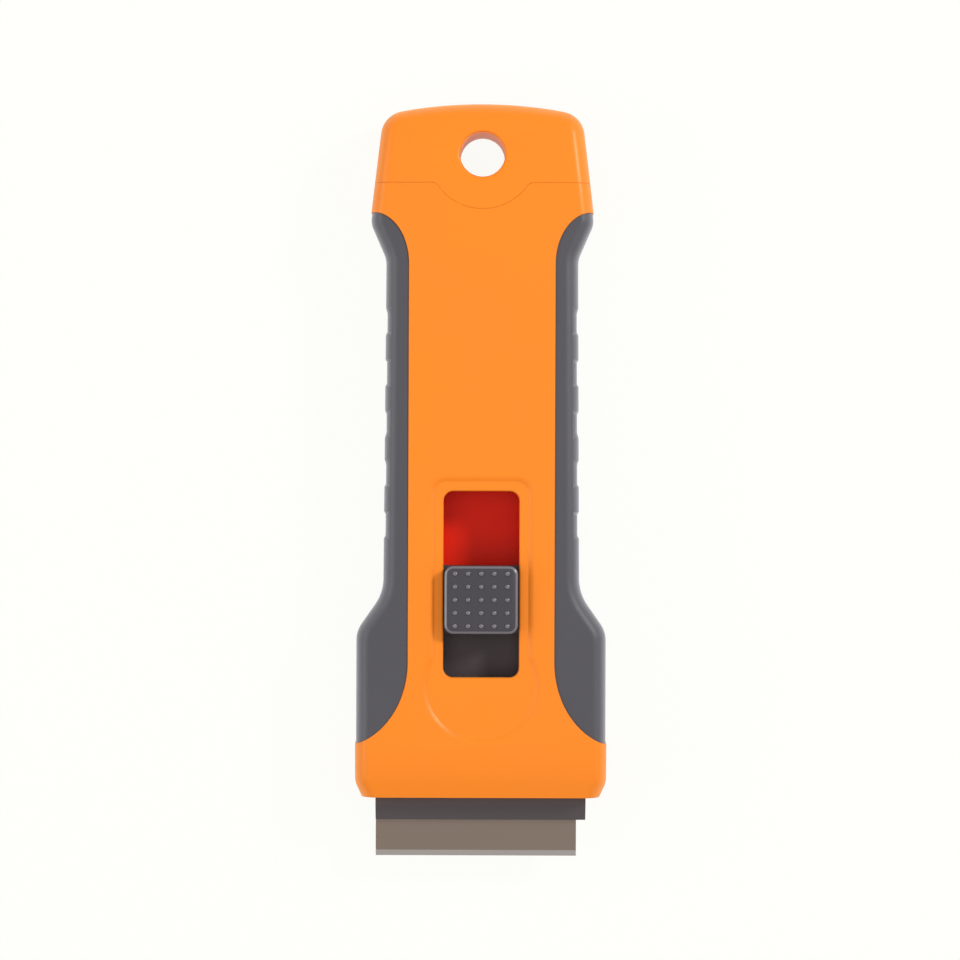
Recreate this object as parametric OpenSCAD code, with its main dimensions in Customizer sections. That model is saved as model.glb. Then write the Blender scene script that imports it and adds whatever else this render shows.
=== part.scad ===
// Retractable scraper for ceramic hobs, lying on its back: X across, Y up the handle, Z out of the face.
// The origin is the middle of the object's footprint, on the plane that it rests on.

/* [Overall] */
// Thickness of the handle at the waist
body_t = 16; // [16:0.25:18]
// How far the blade's edge stands out of the mouth at its working stop
blade_out = 11.9; // [11.5:0.1:12.3]

/* [Head] */
// Thickness of the head's sides, from the holder's way to the outside
head_side = 3.7; // [3.6:0.05:4.4]
// Length of the head, from the mouth to the flare
head_len = 32.6; // [32.4:0.1:34.4]
// Length of the flare between head and waist
flare_len = 7.5; // [7:0.1:9]
// Width and length of the bevel beside the mouth
mouth_bevel_w = 1.3; // [0.8:0.1:1.8]
mouth_bevel_len = 2.9; // [2.5:0.1:4]
// How far the front face drops, and the back rises, towards the mouth
nose_drop = 2.0; // [1.5:0.1:2.6]
nose_rise = 2.2; // [1.5:0.1:2.4]

/* [Waist and shoulder] */
// Width of the waist at the flare, and at the neck, towards which it narrows
waist_w = 38.8; // [38.5:0.1:40]
neck_w = 38.0; // [37.8:0.1:39]
// Length of the neck, from the waist's end to the shoulder
neck_len = 7; // [6:0.1:8]
// Width of the shoulder at its widest
shoulder_w = 44.1; // [43:0.1:46]
// Length from the shoulder's widest point to the top
shoulder_len = 23.8; // [22.2:0.1:25.2]

/* [End cap] */
// Width of the end cap at its top corners
cap_w = 39.1; // [37.5:0.1:41]
// Length of the end cap, from its seam to the top
cap_len = 15.9; // [14.6:0.1:17.6]
// Radius of the crowned top edge
crown_r = 87; // [65:1:150]
// Distance of the hanging hole's centre from the top
hole_drop = 10.3; // [9:0.1:11]
// Radius of the hanging hole
hole_r = 4.4; // [3.5:0.05:4.75]
// Radius of the dip in the seam, round the hanging hole
dip_r = 10.7; // [9:0.1:11.5]
// How far the front face drops, and the back rises, towards the top
cap_drop = 2.4; // [1.5:0.1:2.8]
cap_rise = 1.0; // [0.5:0.1:1.5]
// Gap of the seam between end cap and shells
seam_gap = 0.2; // [0.1:0.05:0.4]

/* [Grips] */
// Thickness of the soft grips over the shells
grip_t = 2.2; // [1.9:0.1:2.3]
// How far the grips lie below the shells' faces
grip_sink = 0.2; // [0.1:0.05:0.4]
// Width of each grip on the front, and on the back, of the waist
grip_front_w = 5.1; // [4.5:0.05:5.4]
grip_back_w = 3.1; // [2.4:0.05:3.3]
// Number of finger notches along each grip
notch_count = 5; // [3:1:6]
// Pitch, length and depth of the finger notches
notch_pitch = 9.9; // [8:0.1:10.5]
notch_len = 5.1; // [4:0.1:6]
notch_depth = 0.3; // [0.2:0.05:0.6]

/* [Window and button] */
// Width of the window
window_w = 14.8; // [14.7:0.1:15.8]
// Length of the window
window_len = 36.4; // [35.7:0.1:36.9]
// Distance of the window's lower end from the mouth
window_up = 23.6; // [23.4:0.1:24.2]
// Depth of the thumb recess round the window
recess_depth = 0.45; // [0.2:0.05:0.7]
// Width of the thumb recess beside the window
recess_w = 18.7; // [17.8:0.1:19.8]
// Radius of the round foot of the thumb recess
recess_foot_r = 10.9; // [10.3:0.1:11.9]
// Width and length of the button
button_w = 14.4; // [13.8:0.1:14.5]
button_len = 13.3; // [12.7:0.1:13.7]
// How far the button stands out of the front face
button_proud = 2.2; // [1.8:0.1:2.6]
// Travel of the button when it is pressed
press_travel = 1.2; // [0.9:0.05:1.3]
// Number of rows, and of columns, of nubs on the button
nub_count = 5; // [3:1:6]
// Pitch, radius and height of the nubs
nub_pitch = 2.55; // [2:0.01:2.58]
nub_r = 0.45; // [0.3:0.05:0.6]
nub_h = 0.3; // [0.2:0.05:0.4]

/* [Blade and holder] */
// Width of the blade along its edge
blade_w = 39.5; // [38:0.1:40]
// Depth of the blade from its edge to its back
blade_d = 18.4; // [17.8:0.1:18.8]
// Thickness of the blade
blade_t = 0.3; // [0.2:0.05:0.4]
// Length of the ground bevel
bevel_len = 1.1; // [0.8:0.1:1.4]
// Radius of the hole in the blade's middle
blade_hole_r = 2.05; // [1.9:0.05:2.1]
// How much wider than the blade its holder is
holder_margin = 1.8; // [1.2:0.1:1.9]
// Length of the blade holder
holder_len = 20; // [19.5:0.1:20.3]
// How much of the blade stands out of the holder
blade_bare = 7.2; // [7.1:0.1:7.5]
// Thickness of the holder's lower and upper jaws
bed_t = 2.1; // [1.8:0.1:2.3]
clamp_t = 2.7; // [2.4:0.1:2.8]
// Radius of the stud that holds the blade
stud_r = 1.0; // [0.8:0.05:1.05]
// Distance from the window to the tray of spare blades
store_gap = 8.9; // [8.5:0.1:15]
// Number of spare blades in the tray
spare_count = 5; // [1:1:5]

/* [Shell walls] */
// Thickness of the front shell's wall outside the recess
front_wall = 2.6; // [2.3:0.05:2.7]
// Thickness of the rear shell's wall
rear_wall = 2.0; // [1.8:0.05:2.1]
// Thickness of the shells' side walls under the grips
side_wall = 2.35; // [2.1:0.05:2.5]
// Height of the parting plane between the shells
split_z = 8; // [7.8:0.1:8.2]

/* [Fasteners] */
// Shank radius of the shell screws
screw_r = 1.1; // [1:0.05:1.2]
// Head radius of the shell screws
screw_head_r = 2.1; // [1.9:0.05:2.15]

/* [Hidden] */

$fn = 48;
fine_fn = 96;
over = 1;          // overrun of every cut
foot_room = 1.7;   // room for the button's flange below the window
slide_gap = 0.3;   // clearance round what slides
fit_gap = 0.05;    // clearance of what is fitted and stays
arc_steps = 5;     // chords in a corner of the outline
edge_steps = 5;    // chords across a rounded long edge
station = 6;       // longest straight stretch between the outline's points

// Corner radii of the outline, from the mouth to the top
bevel_r = 4.4;
flare_head_r = 6;
flare_waist_r = 9;
neck_waist_r = 5;
neck_shoulder_r = 4.4;
cap_corner_r = 5;

// Rounding of the long edges: width across and height
front_edge = [3, 4.2];
back_edge = [3.6, 4];

// Stretches over which the faces curve down to the two ends
nose_front_len = 12;
nose_back_len = 15;
cap_front_len = 20;
cap_back_len = 9;

// Widths that follow the blade
holder_w = blade_w + holder_margin;
head_w = holder_w + 2 * (slide_gap + head_side);

// The tray of spare blades and the plug that it is fixed to
tray_end_wall = 1.2;
tray_end_gap = 0.3;
pocket_len = blade_w + 2 * tray_end_gap;
tray_len = pocket_len + 2 * tray_end_wall;
plug_len = 8.8;

// Places along Y, where the length over all follows from what the handle holds
overall_len = blade_out + window_up + window_len + store_gap + tray_len + plug_len + cap_len;
y_top = overall_len / 2;
y_edge = -overall_len / 2;
y_mouth = y_edge + blade_out;
y_flare = y_mouth + head_len;
y_waist = y_flare + flare_len;
y_shoulder = y_top - shoulder_len;
y_neck = y_shoulder - neck_len;
y_seam = y_top - cap_len;
y_plug = y_seam - plug_len;
y_tray = y_plug - tray_len;
y_hole = y_top - hole_drop;
y_window = y_mouth + window_up;
y_window_top = y_window + window_len;

// Heights of the slider's layers
track_rise = 1.6;
track_t = 1.4;
track_z = rear_wall + track_rise;
bed_z = track_z + track_t + slide_gap;
blade_z = bed_z + bed_t;
clamp_z = blade_z + blade_t;
clamp_top = clamp_z + clamp_t;
stem_t = 3.5;
stem_top = bed_z + stem_t;
ceiling_z = body_t - front_wall;

// The clear way of the blade holder and the chamber along the handle
way_half = holder_w / 2 + slide_gap;
chamber_half = waist_w / 2 - grip_t - side_wall;
chamber_foot = y_window - foot_room;

// The slider's places at its working stop, and its two other stops
y_lip = y_edge + blade_bare;
y_holder_top = y_lip + holder_len;
y_blade_back = y_edge + blade_d;
button_gap = 8.6;
y_button = y_window + button_gap + button_len / 2;
extend_travel = button_gap - slide_gap / 3;
retract_travel = window_len - button_len - button_gap - slide_gap / 3;
blade_x = -holder_margin / 2;
stud_play = 0.15;
x_stud = blade_x + blade_hole_r - stud_r - stud_play;
y_stud = y_edge + blade_d / 2;

// Shell bosses
boss_r = 2.4;
boss_pad_r = 3.1;
boss_pad_t = 1.5;
boss_gap = 0.5;
stem_half = 10.3;
boss_x = stem_half + boss_gap + boss_r;
boss_low = 6;
boss_high = 2.6;
y_boss_low = y_waist - boss_low;
y_boss_high = y_neck + boss_high;
screw_len = 10;
screw_head_t = 1.5;
slot_w = 0.6;
slot_depth = 0.7;
slot_share = 0.6;

// Half the angle of a corner that counts as straight
straight_half = 89.5;
function unit2(v) = v / norm(v);
function turn(a) = a > 180 ? a - 360 : a < -180 ? a + 360 : a;

// Points of a corner at p, rounded to radius r, on the way from a to b
function corner(a, p, b, r, steps) =
    let (u = unit2(a - p), v = unit2(b - p),
        half = acos(max(-1, min(1, u * v))) / 2)
    r <= 0 || half > straight_half ? [p] :
    let (c = p + unit2(u + v) * r / sin(half),
        s = p + u * r / tan(half) - c,
        e = p + v * r / tan(half) - c,
        a0 = atan2(s[1], s[0]),
        da = turn(atan2(e[1], e[0]) - a0))
    [for (i = [0:steps]) c + r * [cos(a0 + da * i / steps), sin(a0 + da * i / steps)]];

// A path through points [x, y, radius], with its corners rounded
function rounded(points, steps) =
    let (p = [for (q = points) [q[0], q[1]]], last = len(points) - 1)
    [for (i = [0:last]) each (i == 0 || i == last ? [p[i]]
        : corner(p[i - 1], p[i], p[i + 1], points[i][2], steps))];

// The same path with no stretch longer than step
function stations(path, step) =
    [for (i = [0:len(path) - 1]) each (i == len(path) - 1 ? [path[i]]
        : let (n = ceil(norm(path[i + 1] - path[i]) / step))
          [for (k = [0:n - 1]) path[i] + (path[i + 1] - path[i]) * k / n])];

// Outward directions along the right side of the outline, scaled so that an inset keeps its distance
function heading(path, i) = unit2(path[i + 1] - path[i]);
function outward(path, i) =
    let (n = len(path) - 1,
        d = i == 0 ? heading(path, 0) : i == n ? [-1, 0]
            : unit2(heading(path, i) + heading(path, i - 1)),
        k = i == 0 || i == n ? 1 : d * heading(path, i))
    [d[1], -d[0]] / k;
function inset(path, d) = [for (i = [0:len(path) - 1]) path[i] - d * outward(path, i)];

// The right side of the handle's outline, from beyond the mouth to the middle of the crown
function crown_y(x) = y_top - x * x / (2 * crown_r);
crown_half = cap_w / 2;
crown_shares = [0.8, 0.6, 0.4, 0.2, 0];
side_path = stations(rounded([
    [head_w / 2 - 2 * mouth_bevel_w, y_mouth - mouth_bevel_len, 0],
    [head_w / 2, y_mouth + mouth_bevel_len, bevel_r],
    [head_w / 2, y_flare, flare_head_r],
    [waist_w / 2, y_waist, flare_waist_r],
    [neck_w / 2, y_neck, neck_waist_r],
    [shoulder_w / 2, y_shoulder, neck_shoulder_r],
    [crown_half, crown_y(crown_half), cap_corner_r],
    for (s = crown_shares) [crown_half * s, crown_y(crown_half * s), 0]], arc_steps), station);

// Heights of the front face and of the back along Y
function eased(y, start, len) = pow(max(0, (y - start) / len), 2);
function front_z(y) = body_t
    - nose_drop * eased(-y, -y_mouth - nose_front_len, nose_front_len)
    - cap_drop * eased(y, y_top - cap_front_len, cap_front_len);
function back_z(y) = nose_rise * eased(-y, -y_mouth - nose_back_len, nose_back_len)
    + cap_rise * eased(y, y_top - cap_back_len, cap_back_len);

// Rings of a rounded slab, as [inset, face, distance], where the distance counts from the back for face 0,
// from the front for face 1 and from the plane of rest for face 2
function back_rings(d) = [for (i = [0:edge_steps]) let (a = 90 - 90 * i / edge_steps)
    [d + back_edge[0] * (1 - cos(a)), 0, d + back_edge[1] * (1 - sin(a))]];
function front_rings(d) = [for (i = [0:edge_steps]) let (a = 90 * i / edge_steps)
    [d + front_edge[0] * (1 - cos(a)), 1, d + front_edge[1] * (1 - sin(a))]];
function ring_z(ring, y) = ring[1] == 0 ? back_z(y) + ring[2]
    : ring[1] == 1 ? front_z(y) - ring[2] : ring[2];

// A closed solid through the rings, mirrored about X, with faces that run straight across
module slab(rings) {
    n = len(side_path) - 1;
    m = 2 * n + 1;
    points = [for (ring = rings) let (p = inset(side_path, ring[0]))
        each concat([for (i = [0:n]) [p[i][0], p[i][1], ring_z(ring, p[i][1])]],
            [for (i = [n - 1:-1:0]) [-p[i][0], p[i][1], ring_z(ring, p[i][1])]])];
    top = (len(rings) - 1) * m;
    sides = [for (k = [0:len(rings) - 2], j = [0:m - 1])
        let (a = k * m + j, b = k * m + (j + 1) % m, c = b + m, d = a + m)
        each [[a, d, c], [a, c, b]]];
    lids = [for (i = [0:n - 1]) let (l = 2 * n - i, r = i)
        each (i == n - 1 ? [[l, r, n], [top + l, top + n, top + r]]
            : [[l, r, r + 1], [l, r + 1, l - 1],
               [top + l, top + l - 1, top + r + 1], [top + l, top + r + 1, top + r]])];
    polyhedron(points, concat(sides, lids), convexity = 6);
}

module handle_form(d) { slab(concat(back_rings(d), front_rings(d))); }
module front_form(d) { slab(concat([[d, 2, split_z]], front_rings(d))); }
module rear_form(d) { slab(concat(back_rings(d), [[d, 2, split_z]])); }

// A box between two corners
module block(a, b) { translate(a) cube(b - a); }

// A rounded rectangle about the middle of its width, from y0 to y1
module rounded_plate(half_w, y0, y1, r) {
    polygon(rounded_loop([[half_w, y0], [half_w, y1], [-half_w, y1], [-half_w, y0]], r));
}
function rounded_loop(p, r) = [for (i = [0:len(p) - 1])
    each corner(p[(i + len(p) - 1) % len(p)], p[i], p[(i + 1) % len(p)], r, arc_steps)];

// Everything above the seam between shells and end cap, with the dip round the hanging hole
dip_corner_r = 1.5;
dip_steps = 10;
module above_seam(gap) {
    far = head_w;
    ys = y_seam - gap;
    r = dip_r + gap;
    half = acos((y_hole - ys) / r);
    arc = [for (i = [0:dip_steps]) let (a = -90 - half + 2 * half * i / dip_steps)
        [r * cos(a), y_hole + r * sin(a), i == 0 || i == dip_steps ? dip_corner_r : 0]];
    path = rounded(concat([[-far, ys, 0]], arc, [[far, ys, 0]]), arc_steps);
    polygon(concat([[far, y_top + far], [-far, y_top + far]], path));
}

// The plan of the area that a grip covers on the right side, which has the given width at the waist.
// Its ends are quarter ellipses, whose middles lie this far outside the shoulder's and the head's sides.
grip_top_out = -0.55;
grip_top_len = 10;
grip_foot_out = 3.25;
grip_foot_len = 16.6;
grip_top_drop = 0.85;
grip_foot_rise = 26.6;
grip_arc_steps = 10;
grip_top_reach = shoulder_w / 2 + grip_top_out;
grip_foot_reach = head_w / 2 + grip_foot_out;
y_grip_top = y_neck - grip_top_drop;
y_grip_foot = y_mouth + grip_foot_rise;
function quarter(centre, radii, start) = [for (i = [0:grip_arc_steps])
    let (a = start + 90 * i / grip_arc_steps) centre + [radii[0] * cos(a), radii[1] * sin(a)]];
module grip_plan(width) {
    far = head_w;
    x = waist_w / 2 - width;
    polygon(concat(
        quarter([grip_top_reach, y_grip_top], [grip_top_reach - x, grip_top_len], 90),
        quarter([grip_foot_reach, y_grip_foot], [grip_foot_reach - x, grip_foot_len], 180),
        [[far, y_grip_foot - grip_foot_len], [far, y_grip_top + grip_top_len]]));
}
module grip_area(front, z0, z1) {
    translate([0, 0, z0]) linear_extrude(z1 - z0) grip_plan(front ? grip_front_w : grip_back_w);
}

// What lies under both grips, as far as they reach along the handle
module grip_core(z0, z1) {
    p = inset(side_path, grip_t);
    n = len(p) - 1;
    y0 = y_grip_foot - grip_foot_len - over;
    y1 = y_grip_top + grip_top_len + over;
    intersection() {
        translate([0, 0, z0]) linear_extrude(z1 - z0)
            polygon(concat(p, [for (i = [n - 1:-1:0]) [-p[i][0], p[i][1]]]));
        block([-head_w, y0, z0], [head_w, y1, z1]);
    }
}

// The thumb recess: a rounded frame round the window that ends in a round foot
recess_top_gap = 1.9;
recess_corner_r = 2.4;
recess_foot_up = 22.1;
module recess_plan() {
    rounded_plate(recess_w / 2, y_window, y_window_top + recess_top_gap, recess_corner_r);
    translate([0, y_mouth + recess_foot_up]) circle(recess_foot_r, $fn = fine_fn);
}

// The way of the blade holder, open at the mouth and narrowing at the flare
module holder_way() {
    flare = unit2([flare_len, (head_w - waist_w) / 2]);
    wall = grip_t + side_wall;
    q = [head_w / 2 - wall * flare[0], y_flare - wall * flare[1]];
    slope = flare_len / ((head_w - waist_w) / 2);
    y_wide = q[1] + (q[0] - way_half) * slope;
    y_narrow = q[1] + (q[0] - chamber_half) * slope;
    translate([0, 0, bed_z - slide_gap]) linear_extrude(clamp_top - bed_z + 2 * slide_gap)
        polygon([[-way_half, y_mouth - over], [way_half, y_mouth - over], [way_half, y_wide],
            [chamber_half, y_narrow], [-chamber_half, y_narrow], [-way_half, y_wide]]);
}
module chamber() {
    block([-chamber_half, chamber_foot, rear_wall], [chamber_half, y_top, ceiling_z]);
}
module interior() {
    holder_way();
    chamber();
}

// Screws
module screw(r, head_r, head_t, length) {
    difference() {
        union() {
            cylinder(h = head_t, r = head_r);
            cylinder(h = head_t + length, r = r);
        }
        for (a = [0, 90]) rotate([0, 0, a])
            block([-head_r * slot_share, -slot_w / 2, -over], [head_r * slot_share, slot_w / 2, slot_depth]);
    }
}
module at_bosses() {
    for (x = [-boss_x, boss_x], y = [y_boss_low, y_boss_high]) translate([x, y, 0]) children();
}

// Front shell
rack_half = 9.2;
rack_w = 1.2;
rack_h = 1.5;
tooth_w = 1.2;
tooth_gap = 0.2;
bulkhead_t = 1.6;
bulkhead_gap = 1.4;
module rack() {
    reach = tooth_w / 2 + tooth_gap;
    y0 = y_tooth - extend_travel - 2 * reach;
    y1 = y_tooth + retract_travel + 2 * reach;
    difference() {
        for (x = [rack_half, -rack_half - rack_w])
            block([x, y0, ceiling_z - rack_h], [x + rack_w, y1, ceiling_z + fit_gap]);
        for (y = [y_tooth - extend_travel, y_tooth, y_tooth + retract_travel])
            block([-stem_half - over, y - reach, ceiling_z - rack_h - over],
                [stem_half + over, y + reach, ceiling_z]);
    }
}
module bulkhead(z0, z1) {
    y = y_tray - bulkhead_gap - bulkhead_t;
    block([-chamber_half - fit_gap, y, z0], [chamber_half + fit_gap, y + bulkhead_t, z1]);
}
module front_shell() {
    color("darkorange") difference() {
        union() {
            difference() {
                union() {
                    difference() {
                        front_form(0);
                        for (s = [0, 1]) mirror([s, 0, 0])
                            grip_area(true, split_z - over, body_t + over);
                    }
                    grip_core(split_z, body_t - grip_t);
                }
                interior();
            }
            at_bosses() translate([0, 0, split_z]) cylinder(h = ceiling_z - split_z + fit_gap, r = boss_r);
            bulkhead(split_z, ceiling_z + fit_gap);
            rack();
        }
        translate([0, 0, split_z - over]) linear_extrude(body_t) above_seam(seam_gap);
        block([-head_w, y_mouth - head_w, 0], [head_w, y_mouth, body_t + over]);
        translate([0, 0, ceiling_z - over]) linear_extrude(front_wall + 2 * over)
            rounded_plate(window_w / 2, y_window, y_window_top, window_r);
        translate([0, 0, body_t - recess_depth]) linear_extrude(recess_depth + over) recess_plan();
        at_bosses() translate([0, 0, split_z - over])
            cylinder(h = screw_len + rear_wall - split_z + over + tooth_gap, r = screw_r + fit_gap / 2);
    }
}
window_r = 1.9;

// Rear shell
peg_r = 1;
peg_h = 1.2;
peg_x = 12.9;
peg_inset = 3;
rib_w = 1.4;
runner_half = 6;
tray_gap = 0.2;
module at_pegs() {
    for (x = [-peg_x, peg_x], y = [y_track + peg_inset, y_track_top - peg_inset])
        translate([x, y, 0]) children();
}
module rear_shell() {
    color("darkorange") difference() {
        union() {
            difference() {
                union() {
                    difference() {
                        rear_form(0);
                        for (s = [0, 1]) mirror([s, 0, 0]) grip_area(false, -over, split_z + over);
                    }
                    grip_core(grip_t, split_z);
                }
                interior();
            }
            at_bosses() translate([0, 0, rear_wall - fit_gap]) {
                cylinder(h = split_z - rear_wall + fit_gap, r = boss_r);
                cylinder(h = boss_pad_t + fit_gap, r = boss_pad_r);
            }
            bulkhead(rear_wall - fit_gap, split_z);
            for (y = [y_track + peg_inset, (y_track + y_track_top) / 2, y_track_top - peg_inset])
                block([-chamber_half - fit_gap, y - rib_w / 2, rear_wall - fit_gap],
                    [chamber_half + fit_gap, y + rib_w / 2, track_z]);
            at_pegs() translate([0, 0, track_z - fit_gap]) cylinder(h = peg_h + fit_gap, r = peg_r);
            for (x = [-runner_half, runner_half - rib_w])
                block([x, y_tray, rear_wall - fit_gap],
                    [x + rib_w, y_plug - tray_gap, tray_z - tray_gap]);
        }
        translate([0, 0, -over]) linear_extrude(body_t) above_seam(seam_gap);
        block([-head_w, y_mouth - head_w, -over], [head_w, y_mouth, split_z + over]);
        at_bosses() {
            translate([0, 0, -over]) cylinder(h = rear_wall + over, r = screw_head_r + tray_gap);
            cylinder(h = split_z + over, r = screw_r + tray_gap);
        }
    }
}
module shell_screws() {
    color("silver") at_bosses() translate([0, 0, rear_wall - screw_head_t])
        screw(screw_r, screw_head_r, screw_head_t, screw_len);
}

// Soft grips, one on each side
module notch_cuts() {
    d = grip_sink + notch_depth;
    first = (y_neck + y_waist) / 2 + notch_rise - notch_pitch * (notch_count - 1) / 2;
    for (i = [0:notch_count - 1])
        translate([0, first + notch_pitch * i + notch_len / 2, 0]) rotate([90, 0, 0])
            linear_extrude(notch_len) difference() {
                translate([waist_w / 2 - notch_reach, notch_high])
                    square([head_w, body_t - notch_high - notch_low]);
                rounded_section(d);
            }
}
notch_rise = 0.5;
notch_reach = 1.6;
notch_high = 2;
notch_low = 0.7;
module rounded_section(d) {
    half = waist_w / 2 - d;
    polygon(concat(
        [[-half, d], [half - back_edge[0], d]],
        [for (i = [1:edge_steps]) let (a = 90 - 90 * i / edge_steps)
            [half - back_edge[0] * (1 - cos(a)), d + back_edge[1] * (1 - sin(a))]],
        [for (i = [0:edge_steps]) let (a = 90 * i / edge_steps)
            [half - front_edge[0] * (1 - cos(a)), body_t - d - front_edge[1] * (1 - sin(a))]],
        [[-half, body_t - d]]));
}
module grip() {
    difference() {
        intersection() {
            handle_form(grip_sink);
            union() {
                grip_area(false, -over, split_z);
                grip_area(true, split_z, body_t + over);
            }
        }
        grip_core(grip_t, body_t - grip_t);
        notch_cuts();
    }
}
module right_grip() { color("dimgray") grip(); }
module left_grip() { color("dimgray") mirror([1, 0, 0]) grip(); }

// Track plate: the floor of the window, on which the slider runs
track_up = 22.2;
track_end_gap = 1.6;
plate_gap = 0.2;
rail_w = 1.2;
rail_h = 2.4;
y_track = y_mouth + track_up;
y_track_top = y_tray - bulkhead_gap - bulkhead_t - track_end_gap;
module track_plate() {
    color("firebrick") difference() {
        union() {
            block([-chamber_half + plate_gap, y_track, track_z],
                [chamber_half - plate_gap, y_track_top, track_z + track_t]);
            for (x = [stem_half + slide_gap, -stem_half - slide_gap - rail_w])
                block([x, y_boss_low + boss_r + boss_gap, track_z],
                    [x + rail_w, y_track_top, track_z + track_t + rail_h]);
        }
        at_bosses() translate([0, 0, track_z - over])
            cylinder(h = track_t + rail_h + 2 * over, r = boss_r + plate_gap);
        at_pegs() translate([0, 0, track_z - over])
            cylinder(h = track_t + 2 * over, r = peg_r + fit_gap);
    }
}

// End cap with the hanging hole and the plug that enters the shells
plug_wall = 1.6;
plug_gap = 0.2;
cap_wall = 2.3;
web_t = 1.8;
eye_wall = 1.8;
plug_half = chamber_half - plug_gap;
module end_cap() {
    color("darkorange") difference() {
        union() {
            intersection() {
                handle_form(0);
                translate([0, 0, -over]) linear_extrude(body_t + 2 * over) above_seam(0);
            }
            block([-plug_half, y_plug, rear_wall + plug_gap],
                [plug_half, y_seam + web_t, ceiling_z - plug_gap]);
        }
        difference() {
            union() {
                translate([0, 0, cap_wall + cap_rise / 2])
                    linear_extrude(body_t - 2 * cap_wall - cap_rise / 2 - cap_drop / 2)
                    rounded_plate(cap_w / 2 - cap_wall - front_edge[0] / 2,
                        y_seam + web_t, y_top - 2 * cap_wall, cap_wall);
                block([-plug_half + plug_wall, y_plug - over, tray_z],
                    [plug_half - plug_wall, y_seam + 2 * web_t, ceiling_z - plug_gap - plug_wall]);
            }
            translate([0, y_hole, 0]) cylinder(h = body_t, r = hole_r + eye_wall);
        }
        translate([0, y_hole, -over]) cylinder(h = body_t + 2 * over, r = hole_r, $fn = fine_fn);
        at_tray_screws() translate([0, 0, rear_wall]) {
            cylinder(h = tray_screw_head_t + plug_gap + fit_gap, r = tray_screw_head_r + plug_gap);
            cylinder(h = body_t / 2 - rear_wall, r = tray_screw_r + fit_gap);
        }
    }
}

// Tray for the spare blades, screwed to the plug
tray_wall = 1.1;
tray_floor = 1.2;
tray_z = rear_wall + 2.2;
tray_side_gap = 0.15;
pocket_half = blade_d / 2 + tray_side_gap;
tray_h = tray_floor + spare_count * blade_t + 0.9;
tongue_len = 6;
scoop_r = 3.1;
y_pocket_top = y_plug - tray_end_wall;
y_pocket = y_pocket_top - pocket_len;
tray_screw_r = 0.9;
tray_screw_head_r = 1.6;
tray_screw_head_t = 1;
tray_screw_x = 6;
tray_screw_len = 4;
module at_tray_screws() {
    for (x = [-tray_screw_x, tray_screw_x]) translate([x, y_plug + tongue_len / 2, 0]) children();
}
module blade_tray() {
    half = pocket_half + tray_wall;
    color("dimgray") difference() {
        block([-half, y_tray, tray_z], [half, y_plug + tongue_len, tray_z + tray_h]);
        block([-pocket_half, y_pocket, tray_z + tray_floor],
            [pocket_half, y_pocket_top, tray_z + tray_h + over]);
        for (y = [y_pocket, y_pocket_top])
            translate([0, y, tray_z + tray_floor]) cylinder(h = tray_h, r = scoop_r);
        at_tray_screws()
            cylinder(h = rear_wall + plug_gap + tray_screw_len, r = tray_screw_r + fit_gap / 2);
    }
}
module tray_screws() {
    color("silver") at_tray_screws() translate([0, 0, rear_wall + plug_gap + fit_gap])
        screw(tray_screw_r, tray_screw_head_r, tray_screw_head_t,
            tray_screw_len - tray_screw_head_t - fit_gap);
}

// A scraper blade, lying flat with its edge towards -Y and the middle of its edge at the origin
edge_t = 0.03;
module flat_blade() {
    difference() {
        translate([-blade_w / 2, 0, 0]) rotate([90, 0, 90]) linear_extrude(blade_w) polygon([
            [0, blade_t / 2 - edge_t / 2], [bevel_len, 0], [blade_d, 0],
            [blade_d, blade_t], [bevel_len, blade_t], [0, blade_t / 2 + edge_t / 2]]);
        translate([0, blade_d / 2, -over]) cylinder(h = blade_t + 2 * over, r = blade_hole_r);
    }
}
module spare_blades() {
    color("silver") for (i = [0:spare_count - 1])
        translate([-blade_d / 2, (y_pocket + y_pocket_top) / 2,
                tray_z + tray_floor + i * (blade_t + stack_gap)])
            rotate([0, 0, -90]) flat_blade();
}
stack_gap = 0.02;

// Slider: stem and lower jaw in one moulding
bed_back = 0.3;
module carrier() {
    color("dimgray") difference() {
        union() {
            block([-stem_half, y_holder_top - over, bed_z], [stem_half, y_stem_top, stem_top]);
            block([-holder_w / 2, y_lip + bed_back, bed_z], [holder_w / 2, y_holder_top, blade_z]);
            block([-holder_w / 2, y_blade_back, bed_z], [holder_w / 2, y_holder_top, clamp_z]);
        }
        at_posts() translate([0, 0, bed_z - over])
            cylinder(h = stem_t + 2 * over, r = post_r + fit_gap);
        at_clamp_screws() translate([0, 0, blade_z - clamp_screw_bite])
            cylinder(h = body_t, r = clamp_screw_r + fit_gap / 2);
        translate([x_stud, y_stud, blade_z - stud_bite])
            cylinder(h = body_t, r = stud_r + fit_gap / 2);
        at_rivets() translate([0, 0, stem_top - rivet_bite])
            cylinder(h = body_t, r = rivet_r + fit_gap / 2);
    }
}
stem_back = 0.8;
y_stem_top = y_button + button_len / 2 - stem_back;

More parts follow.
